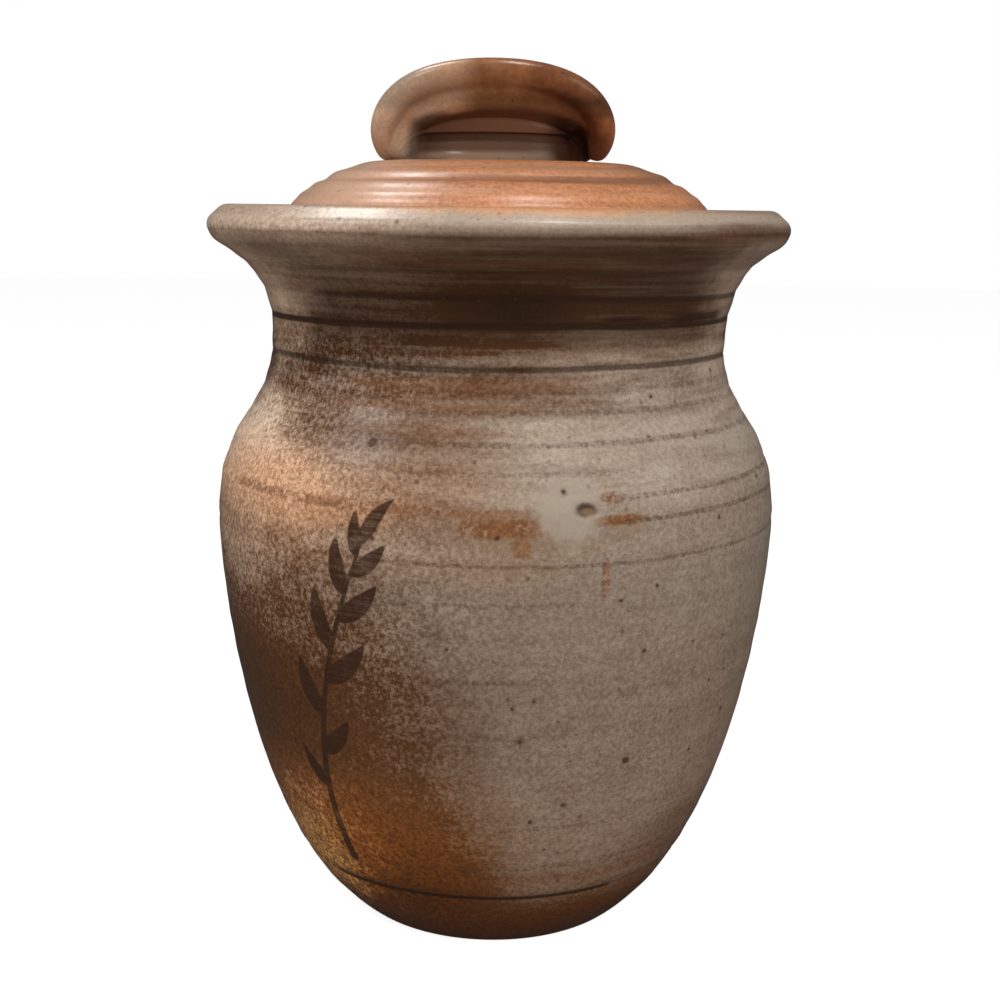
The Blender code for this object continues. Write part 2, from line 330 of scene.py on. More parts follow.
THROWING_RIDGES = (  # height, rise, half width
    (12, 0.14, 2.2),
    (21.6, -0.24, 0.9),
    (24.6, 0.12, 1.6),
    (33, 0.08, 2.4),
    (44, 0.09, 3),
    (55, 0.07, 3),
    (66.5, 0.09, 2.6),
    (79, 0.08, 2.6),
    (90.5, 0.10, 2.2),
    (104, 0.07, 2.8),
    (119.8, -0.15, 1),
    (122.4, 0.14, 1.8),
    (133.2, 0.26, 2.3),
    (137.6, -0.16, 0.9),
    (143.5, 0.14, 2),
    (150.2, -0.15, 0.8),
    (153.6, 0.13, 1.6),
    (157.4, -0.14, 0.8),
    (160.6, 0.13, 1.4),
    (167, -0.20, 0.9),
    (170.4, 0.12, 1.5),
    (177.6, -0.22, 1.1),
    (181, 0.12, 1.3),
    (184.5, -0.16, 0.9),
    (187.2, 0.12, 1.2),
    (191.4, -0.14, 0.8),
    (193.4, 0.10, 0.9),
)
FINE_SECTOR = (-56.0, -8.0, 96)  # from, to, steps
PIT_SECTOR = (11.0, 22.0, 14)
BETWEEN_STEPS, BACK_STEPS = 7, 78
PIT = (16.6, 133.6)  # turn, height
SETTLED = (1.5, 198.0)  # heights between which the rings lean and wobble


def jar_outside(sizes):
    """The jar's outer profile, from the rounded edge of its foot to the underside of its rim."""
    rising = at(math.cos(sizes.foot_rise), math.sin(sizes.foot_rise))
    under_round = sizes.rim_under_round
    under_centre = at(sizes.rim_radius - under_round, sizes.rim_height - sizes.rim_edge_drop)
    underside = arc(under_centre, under_round, -50.0, 0.0)
    foot, rim = at(sizes.foot_radius, 0), underside[0]
    belly, neck = at(sizes.belly_radius, sizes.belly_height), at(sizes.neck_radius, sizes.neck_height)
    after_foot = foot + sizes.foot_sweep * rising
    below_belly, above_belly = (
        belly + at(0, reach) for reach in (-sizes.belly_sweep_below, sizes.belly_sweep_above)
    )
    below_neck, above_neck = (
        neck + at(0, reach) for reach in (-sizes.neck_sweep_below, sizes.neck_sweep_above)
    )
    before_rim = rim - polar(at(0, 0), sizes.rim_sweep, 40.0)
    lower = sweep(foot, after_foot, below_belly, belly, 0.62 * MM)
    upper = sweep(belly, above_belly, below_neck, neck, 0.70 * MM)
    flare = sweep(neck, above_neck, before_rim, rim, 0.80 * MM)
    points = [point for point in lower if point.y > sizes.foot_edge] + upper + flare + underside[:-1]
    return softened(points, len(points) - len(underside) - 6, len(points) - 2)


def throwing_relief(point):
    """How far the potter's fingers left the clay proud of the plain curve at a height."""
    height = point.y / MM
    rise = sum(depth * bump(height, centre, width) for centre, depth, width in THROWING_RIDGES)
    drift = noise.noise(Vector((0.3, 0.7, height * 0.21))) * 0.07
    fade = min(1.0, max(0.0, (199.0 - height) / 4.0)) * min(1.0, height / 6.0)
    return (rise + drift) * fade * MM


def rim_top(sizes):
    """From the rim's outermost edge up its bevel, over its level top and round to its inner side."""
    inner_round = sizes.rim_inner_round
    corner = at(sizes.rim_radius, sizes.rim_height)
    edge = corner - at(sizes.rim_edge_round, sizes.rim_edge_drop)
    outer = corner - at(sizes.rim_bevel_width, sizes.rim_top_round)
    inner = corner - at(sizes.rim_width - inner_round, inner_round)
    edge_round = arc(edge, sizes.rim_edge_round, 0.0, 48.0)
    outer_round = arc(outer, sizes.rim_top_round, 48.0, 90.0, 8.0)
    bevel = run(edge_round[-1], outer_round[0], 0.7 * MM)[1:]
    return edge_round + bevel + outer_round + arc(inner, inner_round, 90.0, 170.0, 10.0)


def jar_inside(sizes, outside):
    """The profile inside, from the rim's outermost edge down to the middle of the floor."""
    ledge = at(sizes.rim_radius - sizes.rim_wall, sizes.rim_height - sizes.ledge_depth)
    mouth = ledge - at(sizes.ledge_width, 0)
    throat = at(sizes.neck_radius - sizes.wall, sizes.neck_height)
    corner = 1.0 * MM
    rim = rim_top(sizes)
    rim_side = run(rim[-1], ledge + at(0.9, 1.6) * MM, 1.0 * MM)[1:]
    ledge_curve = arc(ledge + at(0, corner), corner, 20.0, -90.0, 22.0)
    ledge_flat = run(ledge_curve[-1], mouth + at(corner, 0), 1.6 * MM)[1:]
    mouth_curve = arc(mouth + at(corner, -corner), corner, 90.0, 178.0, 15.0)
    neck_inside = run(mouth_curve[-1], throat, 1.8 * MM)[1:]
    lowest, highest = sizes.floor + 9.0 * MM, sizes.neck_height - 4.0 * MM
    below = [
        point - side * sizes.wall
        for point, side in zip(outside, outward(outside))
        if lowest < point.y < highest
    ][::-6]
    last, middle = below[-1], at(0, sizes.floor)
    corner_handle, corner_end = (at(last.x - inwards * MM, sizes.floor) for inwards in (7.0, 16.0))
    floor_corner = sweep(last, last + 7.0 * (last - below[-2]), corner_handle, corner_end, 1.6 * MM)
    floor = run(corner_end, middle, 1.6 * MM)
    rings = [point + at(0, 0.25 * MM * math.sin(point.x / (1.5 * MM))) for point in floor]
    mouth_side = [*rim_side, *ledge_curve, *ledge_flat, *mouth_curve, *neck_inside, throat]
    return [*rim, *mouth_side, *below, *floor_corner[1:], *rings, middle]


def jar_profile(sizes):
    """Out under the foot, up the outside, over the rim, and down the inside to the floor."""
    inner, edge = sizes.foot_radius - 9.0 * MM, sizes.foot_edge
    trim_end = at(inner - 2.0 * MM, sizes.foot_hollow)
    ring_start, ring_end = at(inner + 1.2 * MM, 0), at(sizes.foot_radius - edge, 0)
    trimmed = run(at(0, sizes.foot_hollow), trim_end, 2.4 * MM)
    foot_ring = sweep(
        trim_end, trim_end + at(1.4 * MM, 0), at(inner - 0.4 * MM, 0), ring_start, 0.5 * MM
    )
    stand = run(ring_start, ring_end, 1.4 * MM)
    outside = jar_outside(sizes)
    before_wall = outside[0] - (outside[1] - outside[0]).normalized() * edge * 0.6
    foot_edge = sweep(ring_end, at(sizes.foot_radius, 0), before_wall, outside[0], 0.3 * MM)
    smooth = raised(outside, throwing_relief)
    return trimmed + foot_ring + stand + foot_edge + smooth + jar_inside(sizes, outside)


def jar_sectors():
    """Finer steps round the brushwork and the pit, and coarser ones elsewhere."""
    starts = (*FINE_SECTOR[:2], *PIT_SECTOR[:2], FINE_SECTOR[0] + 360.0)
    steps = (FINE_SECTOR[2], BETWEEN_STEPS, PIT_SECTOR[2], BACK_STEPS, 0)
    return [(math.radians(start), count) for start, count in zip(starts, steps)]


def settle_jar(body, sizes):
    """Gives the turned jar the slight lean of thrown rings, a soft wobble and one pit in the glaze."""
    low, high = SETTLED
    pit_turn, pit_height = math.radians(PIT[0]), PIT[1]
    for vert in body.verts:
        radius = math.hypot(vert.co.x, vert.co.y)
        height = vert.co.z / MM
        if radius < 10 * MM or not low <= height <= high:
            continue
        turn = turn_of(vert.co)
        rise = min(1.0, (height - low) / 20.0) * min(1.0, (high - height) / 12.0)
        lean = 0.55 * math.sin(turn - 0.9) + 0.25 * math.sin(2 * turn + height * 0.05)
        vert.co.z += lean * rise * MM
        swell = 0.16 * math.sin(2 * turn + 1.1) + 0.10 * math.sin(3 * turn + height * 0.03)
        scale = 1 + swell * rise * MM / radius
        across, upward = (turn - pit_turn) * radius / MM, height - pit_height
        apart = math.hypot(across * 0.62, upward + across * 0.12)
        if apart < 6.0 and radius > sizes.belly_radius * 0.9:
            dent = 1.3 * bump(apart, 0.0, 1.5) - 0.14 * bump(apart, 2.6, 0.8)
            scale -= dent * MM / radius
        off_centre = 0.7 * bump(height, 181.0, 13.0) * rise * MM
        vert.co.x = vert.co.x * scale + off_centre
        vert.co.y *= scale


# Brushwork: a leafy sprig. Points are (mm to the right, mm up, half width in mm) from its base.

SPRIG_PLACE = (-37.0, 30.0)
FAR_FROM_BRUSH = 5.0  # mm, kept for all places beyond
SPRIG_STEM = (
    (0, 0, 1.55),
    (-1.4, 13, 1.25),
    (-1, 28, 1.10),
    (1.6, 44, 0.95),
    (5.6, 59, 0.85),
    (10.2, 73, 0.70),
    (14.6, 85, 0.55),
    (18, 94, 0.40),
)
SPRIG_LEAVES = (  # how far up the stem, tilt from it in degrees (+ right), length, half width
    (0.24, -52, 13, 2.1),
    (0.34, 50, 15, 2.5),
    (0.44, -50, 17, 2.7),
    (0.54, 48, 17.5, 2.8),
    (0.63, -48, 17, 2.7),
    (0.72, 46, 16, 2.6),
    (0.80, -46, 15, 2.4),
    (0.87, 44, 13, 2.1),
    (0.94, -42, 11.5, 1.8),
    (1.00, -4, 14, 1.9),
)


def along_path(points, place):
    """Point and direction at a share of the way along a path."""
    steps = (len(points) - 1) * min(max(place, 0.0), 0.9999)
    index = int(steps)
    start, end = Vector(points[index]), Vector(points[index + 1])
    return start.lerp(end, steps - index), (end - start).to_2d().normalized()


def smooth_path(points, count):
    """More points along a path, through its own points."""
    spread = [points[0], *points, points[-1]]
    made = []
    for a, b, c, d in zip(spread, spread[1:], spread[2:], spread[3:]):
        start, end = Vector(b), Vector(c)
        start_handle = start + (end - Vector(a)) / 6
        end_handle = end - (Vector(d) - start) / 6
        made += interpolate_bezier(start, start_handle, end_handle, end, count + 1)[:-1]
    return made + [Vector(points[-1])]


def leaf_stroke(root, heading, tilt, reach, half_width):
    """One dab of a pointed brush: narrow, quickly full, then drawn out to a point."""
    side = math.copysign(1.0, -tilt)
    points = []
    for index in range(13):
        place = index / 12
        turned_by = math.radians(-tilt) - side * math.radians(16.0) * place
        step = Matrix.Rotation(turned_by, 2) @ heading
        full = math.sin(math.pi * place**0.72) ** 0.85
        middle = root.to_2d() + step * reach * place
        points.append((*middle, 0.12 + half_width * full))
    return points


def sprig_strokes():
    stem = smooth_path(SPRIG_STEM, 6)
    strokes = [stem]
    for place, tilt, reach, half_width in SPRIG_LEAVES:
        root, heading = along_path(stem, place)
        strokes.append(leaf_stroke(root, heading, tilt, reach, half_width))
    return strokes


def distance_to_stroke(places, stroke):
    """Distance in millimetres from each place to the edge of a stroke, negative inside it."""
    nearest = np.full(len(places), 1e3)
    for start, end in zip(stroke, stroke[1:]):
        start, end = np.array(start), np.array(end)
        along = end[:2] - start[:2]
        reach = max(float(along @ along), 1e-9)
        shares = np.clip((places - start[:2]) @ along / reach, 0.0, 1.0)
        middle = start[:2] + shares[:, None] * along
        apart = np.linalg.norm(places - middle, axis=1)
        nearest = np.minimum(nearest, apart - start[2] - shares * (end[2] - start[2]))
    return nearest


def wall_radius(height, outside):
    """Outer radius of the jar's wall at a height, or at many, in millimetres."""
    return np.interp(height, [point.y / MM for point in outside], [point.x for point in outside])


def mark_jar(mesh, sizes, outside):
    """Stores where the brushwork, the inside and the bare clay are, for the glaze to read."""
    places = vertex_places(mesh)
    radius = np.hypot(places[:, 0], places[:, 1])
    height = places[:, 2] / MM
    turn = np.arctan2(places[:, 0], -places[:, 1])
    inner = np.where(height < 199.0, wall_radius(height, outside) - sizes.wall / 2, 73.6 * MM)
    inside = (radius < inner) & (height > 4.0)
    across = (turn - math.radians(SPRIG_PLACE[0])) * radius / MM
    upward = height - SPRIG_PLACE[1]
    flat = np.stack([across, upward], axis=1)
    near = ~inside & (np.abs(across) < 40) & (upward > -12) & (upward < 125)
    edge = np.full(len(places), FAR_FROM_BRUSH)
    for stroke in sprig_strokes():
        edge[near] = np.minimum(edge[near], distance_to_stroke(flat[near], stroke))
    add_attribute(mesh, "brush_edge", edge)
    ledge = sizes.rim_height - sizes.ledge_depth
    on_ledge = (np.abs(places[:, 2] - ledge) < 0.4 * MM) & (radius > 61 * MM) & (radius < 74 * MM)
    under_foot = (height < 0.25) | ((height < 4.0) & (radius < 36 * MM))
    add_attribute(mesh, "inside", inside)
    add_attribute(mesh, "bare_clay", on_ledge | under_foot)


# Lid


def lid_relief(point):
    """Fine rings on the dome, with one shallow groove that holds darker glaze."""
    height = point.y / MM
    groove = -0.30 * bump(height, 214.4, 0.75) + 0.14 * bump(height, 216.0, 0.8)
    rings = 0.10 * math.sin(height * 2.1) + 0.12 * bump(height, 208.6, 1.2)
    return (groove + rings - 0.12) * MM


def lid_profile(sizes):
    """Down inside the hollow and the ring, round the flange and up over the dome."""
    foot = at(sizes.flange_radius - sizes.flange_width, sizes.seat + sizes.flange_thickness)
    edge = at(sizes.top_radius, sizes.top)
    side_handle, top_handle = foot + at(0, sizes.sweep_side), edge + at(sizes.sweep_top, 0)
    dome = sweep(foot + at(0, 0.8 * MM), side_handle, top_handle, edge, 0.5 * MM)
    under = [p - side * sizes.wall for p, side in zip(dome, outward(dome))][::3][::-1]
    under = [p for p in under if p.y > sizes.seat + 3.0 * MM]
    hollow = run(at(0, sizes.top - sizes.wall), under[0], 2.2 * MM)
    ring_in = at(sizes.ring_radius - sizes.ring_thickness, sizes.ring_low)
    ring_out = at(sizes.ring_radius, sizes.ring_low)
    soft, cove = 1.4 * MM, 0.6 * MM
    down = run(under[-1], ring_in + at(0, soft), 1.4 * MM)
    ring_edge = arc(ring_in + at(soft, soft), soft, 180.0, 270.0, 18.0)
    ring_edge += arc(ring_out + at(-soft, soft), soft, 270.0, 360.0, 18.0)
    up = run(ring_out + at(0, soft), at(ring_out.x, sizes.seat - cove), 1.2 * MM)[1:]
    seat_in = arc(at(ring_out.x + cove, sizes.seat - cove), cove, 180.0, 90.0, 30.0)
    flange_round = sizes.flange_thickness / 2
    flange_centre = at(sizes.flange_radius - flange_round, sizes.seat + flange_round)
    seat = run(seat_in[-1], flange_centre - at(0, flange_round), 1.2 * MM)[1:]
    flange = arc(flange_centre, flange_round, -90.0, 90.0, 12.0)
    shelf = run(flange[-1], foot + at(1.2 * MM, 0), 1.0 * MM)[1:]
    dome_foot = arc(foot + at(1.0, 0.9) * MM, 0.9 * MM, 270.0, 180.0, 20.0)[:-1]
    middle = at(0, sizes.top - 0.15 * MM)
    inside = [*hollow, *under, *down[1:], *ring_edge, *up, *seat_in, *seat]
    outside = [*flange, *shelf, *dome_foot, *raised(dome, lid_relief)]
    return [*inside, *outside, *run(edge, middle, 1.6 * MM), middle]


# Knob: thrown flat, then bent

STEM_RINGS = (  # mm outwards from the stem's radius, mm up
    (-0.10, 3.8),
    (-0.35, 4.7),
    (-1.00, 5.2),
    (-1.15, 6.2),
    (-1.00, 7),
    (-0.25, 7.35),
    (-0.02, 7.7),
    (0.00, 8),
    (-0.10, 8.2),
    (-0.65, 8.38),
)

LIP_HANDLE = 0.7 * MM
EDGE_HANDLE = 0.8 * MM


def knob_lip(sizes):
    """The round lip of the brim as it is thrown, from below to above."""
    centre = at(sizes.bend_start + sizes.front_reach, sizes.brim_height)
    return arc(centre, sizes.lip_round, -104.0, 104.0, 8.0)


def lip_middle(lip):
    """The point of the lip at which the underside of the brim ends."""
    return len(lip) // 2 - 2


def knob_underside(sizes):
    """From the edge of the knob's joint up its stem and out under its brim, halfway round the lip."""
    stem = sizes.stem_radius
    joint = sweep(
        at(stem + sizes.foot_spread, -0.22 * MM),
        at(stem + 1.4 * MM, 0.1 * MM),
        at(stem + 0.1 * MM, 0.9 * MM),
        at(stem - 0.2 * MM, 2.9 * MM),
        0.3 * MM,
    )
    rings = [at(stem + out * MM, up * MM) for out, up in STEM_RINGS]
    root = at(stem - 0.35 * MM, sizes.root_height + 0.35 * MM)
    lip = knob_lip(sizes)
    edge = at(lip[0].x - 2.2 * MM, sizes.brim_height - sizes.brim_thickness / 2)
    under = sweep(root, root + at(1.0, 0.15) * MM, edge - at(1.5 * MM, 0), edge, 0.35 * MM)
    before_lip = lip[0] + (lip[0] - lip[1]).normalized() * LIP_HANDLE
    blend = sweep(edge, edge + at(EDGE_HANDLE, 0), before_lip, lip[0], 0.4 * MM)
    return joint + smooth_path(rings, 4) + under + blend + lip[: lip_middle(lip)]


def knob_profile(sizes):
    """The knob as it is thrown, from the middle of its foot to the middle of its top."""
    lip = knob_lip(sizes)
    top = sizes.brim_height + sizes.brim_thickness / 2
    edge = at(lip[-1].x - 1.4 * MM, top)
    after_lip = lip[-1] + (lip[-1] - lip[-2]).normalized() * LIP_HANDLE
    blend = sweep(lip[-1], after_lip, edge + at(EDGE_HANDLE, 0), edge, 0.35 * MM)[1:]
    inner = at(sizes.bend_start * 0.55, top - 0.2 * MM)
    middle = at(0, top - sizes.dish)
    dish = sweep(inner, inner - at(3.0, 0.1) * MM, middle + at(3.0 * MM, 0), middle, 0.8 * MM)
    foot_end = at(sizes.stem_radius + sizes.foot_spread - 0.4 * MM, 0)
    outside = knob_underside(sizes) + lip[lip_middle(lip) :] + blend
    return run(at(0, 0), foot_end, 3.0 * MM) + outside + run(edge, inner, 0.6 * MM) + dish + [middle]


def eased(low, high, value):
    """0 below low, 1 above high, with a soft start and end."""
    place = min(1.0, max(0.0, (value - low) / (high - low)))
    return place * place * (3 - 2 * place)


def fold_share(turn, sizes):
    """How far the brim is pressed on to the stem, at a turn round the knob from its front."""
    middle = sizes.right_fold if turn > 0 else sizes.left_fold
    return eased(0.0, sizes.fold_edge, sizes.fold_half - abs(abs(turn) - middle))


def bent(point, turn, sizes):
    """Where a point of the thrown knob comes to lie: the brim curls, and the stem stays upright."""
    flat = point.x - sizes.bend_start
    lift = eased(7.3 * MM, sizes.root_height, point.y)
    if flat <= 0 or lift == 0:
        return point
    spread = lift
    if point.y < sizes.brim_height:
        spread *= eased(sizes.stem_radius - 0.4 * MM, sizes.stem_radius + 2.4 * MM, point.x)
    front = math.cos(turn) ** 2
    upwards = front / (front + sizes.bend_spread * (1 - front))
    right = (1 + math.sin(turn)) / 2
    side_reach = sizes.right_reach * right + sizes.left_reach * (1 - right)
    reach = sizes.front_reach * upwards + side_reach * (1 - upwards)
    along = min(flat, sizes.front_reach) * reach / sizes.front_reach
    along += max(flat - sizes.front_reach, 0)
    bend = (sizes.bend_up * upwards - sizes.bend_down * (1 - upwards)) * along / reach
    above = point.y - sizes.brim_height
    middle = sizes.bend_start + along * math.sin(bend) / bend
    rise = along * (1 - math.cos(bend)) / bend
    new_radius = middle - above * math.sin(bend)
    new_height = sizes.brim_height + rise + above * math.cos(bend)
    return at(point.x + (new_radius - point.x) * spread, point.y + (new_height - point.y) * lift)


def bend_brim(body, profile, sizes):
    """Curls the brim up at the front and back, and folds it down on to the stem at the sides."""
    ring = body.verts.layers.int["ring"]
    underside = knob_underside(sizes)
    start = next(n for n, point in enumerate(profile) if (point - underside[0]).length < 0.001 * MM)
    for vert in body.verts:
        radius = math.hypot(vert.co.x, vert.co.y)
        if radius == 0:
            continue
        turn = turn_of(vert.co)
        place = bent(profile[vert[ring]], turn, sizes)
        below = vert[ring] - start
        if 0 <= below < len(underside):
            shut = underside[0].lerp(bent(underside[-1], turn, sizes), below / (len(underside) - 1))
            place = place.lerp(shut, fold_share(turn, sizes))
        vert.co.x *= place.x / radius
        vert.co.y *= place.x / radius
        vert.co.z = place.y


# Glaze materials


class Value:
    """A number or colour that nodes work out, with sums and products that add further nodes."""

    def __init__(self, graph, socket):
        self.graph, self.socket = graph, socket

    def __add__(self, other):
        return self.graph.calc("ADD", self, other)

    def __sub__(self, other):
        return self.graph.calc("SUBTRACT", self, other)

    def __rsub__(self, other):
        return self.graph.calc("SUBTRACT", other, self)

    def __mul__(self, other):
        return self.graph.calc("MULTIPLY", self, other)

    def __truediv__(self, other):
        return self.graph.calc("DIVIDE", self, other)

    def remap(self, low, high, to_low=0.0, to_high=1.0, kind="SMOOTHSTEP"):
        """This number with the range from low to high spread over another one, and held there."""
        ends = (low, high, to_low, to_high)
        return self.graph.value("ShaderNodeMapRange", self, *ends, interpolation_type=kind)

    def between(self, first, second):
        """The number that lies this share of the way from the first to the second."""
        made = self.graph.add("ShaderNodeMix", data_type="FLOAT")
        return self.graph.filled(made, {0: self, 2: first, 3: second}, 0)


class Graph:
    """Adds linked nodes to one node tree."""

    def __init__(self, tree):
        self.tree = tree

    def add(self, kind, *inputs, **settings):
        made = self.tree.nodes.new(kind)
        for name, value in settings.items():
            setattr(made, name, value)
        for socket, value in zip(made.inputs, inputs):
            self.feed(socket, value)
        return made

    def feed(self, socket, value):
        """Links a value to a socket, or sets the socket to a plain number or colour."""
        if isinstance(value, Value):
            self.tree.links.new(value.socket, socket)
        elif socket.type == "RGBA":
            socket.default_value = (*value, 1)
        else:
            socket.default_value = value

    def filled(self, node, inputs, output):
        """Feeds inputs by name or number, and gives the output that is asked for."""
        for place, value in inputs.items():
            self.feed(node.inputs[place], value)
        return Value(self, node.outputs[output])

    def value(self, kind, *inputs, output=0, **settings):
        return Value(self, self.add(kind, *inputs, **settings).outputs[output])

    def parts(self, kind, *inputs):
        """All that a node gives, by name and in order."""
        outputs = self.add(kind, *inputs).outputs
        return {socket.name: Value(self, socket) for socket in outputs}

    def calc(self, operation, *values, clamp=False):
        return self.value("ShaderNodeMath", *values, operation=operation, use_clamp=clamp)

    def mix(self, amount, first, second, blend="MIX"):
        made = self.add("ShaderNodeMix", data_type="RGBA", blend_type=blend)
        return self.filled(made, {0: amount, 6: first, 7: second}, 2)

    def times(self, tint, level):
        """A colour times a number or another colour."""
        if isinstance(level, Value) and level.socket.type == "VALUE":
            level = self.value("ShaderNodeCombineXYZ", level, level, level)
        return self.mix(1.0, tint, level, "MULTIPLY")

    def doubled(self, tint):
        """Twice a colour, for ramps that hold their numbers at half scale."""
        return self.value("ShaderNodeVectorMath", tint, (2.0, 2.0, 2.0), operation="MULTIPLY")

    def noise(self, place, scale, detail, roughness):
        inputs = {"Vector": place, "Scale": scale, "Detail": detail, "Roughness": roughness}
        return self.filled(self.add("ShaderNodeTexNoise"), inputs, "Fac")

    def stretch(self, place, across, upward, shift=0.0):
        """The same place with its scale across and upward changed, so that a pattern is drawn out."""
        moved = (shift, shift * 0.7, shift * 0.3)
        inputs = {"Vector": place, "Scale": (across, across, upward), "Location": moved}
        return self.filled(self.add("ShaderNodeMapping"), inputs, 0)

    def ramp(self, value, stops, kind="EASE"):
        """A colour ramp through (place, colour) stops."""
        made = self.add("ShaderNodeValToRGB", value)
        elements = made.color_ramp.elements
        made.color_ramp.interpolation = kind
        elements[0].position, elements[1].position = stops[0][0], stops[-1][0]
        elements[0].color, elements[1].color = (*stops[0][1], 1), (*stops[-1][1], 1)
        for place, tint in stops[1:-1]:
            elements.new(place).color = (*tint, 1)
        return Value(self, made.outputs[0])

    def attribute(self, name):
        return self.value("ShaderNodeAttribute", attribute_name=name, output="Fac")


def strongest(*amounts):
    found = amounts[0]
    for amount in amounts[1:]:
        found = found.graph.calc("MAXIMUM", found, amount)
    return found


def new_group(name, inputs):
    """An empty node group that takes numbers and gives one amount."""
    tree = bpy.data.node_groups.new(name, "ShaderNodeTree")
    for title in inputs:
        tree.interface.new_socket(title, in_out="INPUT", socket_type="NodeSocketFloat")
    tree.interface.new_socket("Amount", in_out="OUTPUT", socket_type="NodeSocketFloat")
    graph = Graph(tree)
    given = graph.parts("NodeGroupInput")
    return graph, [given[title] for title in inputs]


def line_group():
    """A node group: how much of a level line lies at a height and turn, with soft ends."""
    names = ("Height", "Turn", "Middle", "Half width", "From", "To", "Fade")
    graph, (height, turn, middle, half_width, start, end, fade) = new_group("glaze_line", names)
    near = graph.calc("ABSOLUTE", height - middle) / half_width
    begun = turn.remap(start, start + fade)
    going = turn.remap(end - fade, end, 1.0, 0.0)
    graph.add("NodeGroupOutput", begun * going * near.remap(0.45, 1.25, 1.0, 0.0))
    return graph.tree


def patch_group():
    """A node group: how much of a soft-edged oval patch lies at a height and turn."""
    names = ("Height", "Turn", "Middle", "Half height", "Facing", "Half turn", "Ragged", "Soft")
    graph, (height, turn, *numbers) = new_group("glaze_patch", names)
    middle, half_height, facing, half_turn, ragged, soft = numbers
    upward, across = (height - middle) / half_height, (turn - facing) / half_turn
    squares = graph.calc("POWER", upward, 2.0) + graph.calc("POWER", across, 2.0)
    apart = graph.calc("SQRT", squares) + ragged
    graph.add("NodeGroupOutput", apart.remap(1.0 - soft, soft + 1.0, 1.0, 0.0))
    return graph.tree


class Surface:
    """Places on the canister's wall, as every glaze reads them: height, turn and drawn-out noises."""

    def __init__(self, graph):
        self.graph = graph
        self.place = place = graph.value("ShaderNodeTexCoord", output="Object")
        self.x, self.y, upward = graph.parts("ShaderNodeSeparateXYZ", place).values()
        across = graph.calc("POWER", self.x, 2.0) + graph.calc("POWER", self.y, 2.0)
        self.radius = graph.calc("SQRT", across) * TO_MM
        self.height = upward * TO_MM
        self.turn = graph.calc("ARCTAN2", self.x, self.y * -1.0) * TO_DEGREES
        self.cloud = graph.noise(place, 22.0, 3.0, 0.55)
        self.mottle = graph.noise(place, 130.0, 3.0, 0.6)
        self.grain = graph.noise(place, 900.0, 2.0, 0.65)
        self.salt = graph.noise(place, 800.0, 2.0, 0.85).remap(0.36, 0.64, -1.0, 1.0, "LINEAR")
        self.streak = graph.noise(graph.stretch(place, 9.0, 420.0), 1.0, 3.0, 0.6)
        self.thread = graph.noise(graph.stretch(place, 26.0, 1500.0, 3.0), 1.0, 2.0, 0.6)
        band = graph.noise(graph.stretch(place, 30.0, 300.0, 5.0), 1.0, 3.0, 0.65)
        slow = graph.noise(graph.stretch(place, 14.0, 30.0, 7.0), 1.0, 2.0, 0.5)
        self.level = self.height + slow.remap(0.0, 1.0, -1.6, 1.6, "LINEAR")
        self.facing = self.turn + self.cloud.remap(0.0, 1.0, -16.0, 16.0, "LINEAR")
        # The same patterns as numbers on either side of 0
        self.mottled, self.grained = self.mottle - 0.5, self.grain - 0.5
        self.threaded, self.banded, self.drawn = self.thread - 0.5, band - 0.5, self.streak - 0.5

    def satin(self, low, high):
        """A roughness that wanders between two values."""
        return self.mottle.remap(0.25, 0.75, low, high, "LINEAR")

    def lines(self, group, rows):
        """How much of any of the level lines lies here."""
        return self.marks(group, rows, (self.level, self.turn))

    def patches(self, group, rows, ragged, soft):
        """How much of any of the oval patches lies here."""
        return self.marks(group, rows, (self.height, self.turn), (ragged, soft))

    def marks(self, group, rows, before, after=()):
        """The strongest mark that a node group makes of rows, each of which ends in its strength."""
        amounts = []
        for *row, strength in rows:
            made = self.graph.value("ShaderNodeGroup", *before, *row, *after, node_tree=group)
            amounts.append(made * strength)
        return strongest(*amounts)


def new_glaze(name):
    material = bpy.data.materials.new(name)
    material.use_nodes = True
    graph = Graph(material.node_tree)
    return material, graph, Surface(graph)


def finish_glaze(graph, tint, roughness, height, distance):
    """Feeds the colour, roughness and relief of a glaze to its shader."""
    relief = {"Strength": 1.0, "Distance": distance, "Height": height}
    inputs = {
        "Base Color": tint,
        "Roughness": roughness,
        "Normal": graph.filled(graph.add("ShaderNodeBump"), relief, 0),
        "Specular IOR Level": 0.34,
        "IOR": 1.5,
        "Coat Weight": 0.10,
        "Coat Roughness": 0.24,
    }
    graph.filled(graph.tree.nodes["Principled BSDF"], inputs, 0)


def recipe_ramp(place, reach, recipe):
    """A glaze recipe at a place along its reach: brown, ochre and brightness, all at half scale."""
    stops = [(step / reach, [part / 2 for part in parts]) for step, *parts in recipe]
    return place.graph.ramp(place / reach, stops)


def recipe_colour(graph, recipe, colours, extra_brown, extra_bright):
    """The colour of a glaze recipe, with more brown and brightness where the glaze wanders."""
    brown, ochre, bright = graph.parts("ShaderNodeSeparateXYZ", graph.doubled(recipe)).values()
    brown = graph.calc("ADD", brown, extra_brown, clamp=True)
    tint = graph.mix(ochre, graph.mix(brown, colours.pale, colours.brown), colours.ochre)
    return graph.times(tint, bright * extra_bright)


WALL_REACH = 210.0  # height in mm that the ramps up the wall span
SPOT_RAGGED = 1.6 * MM
BARE_ROUGHNESS = 0.85
OLIVE = (0.24, 0.155, 0.07)
BLACK = (0.0, 0.0, 0.0)
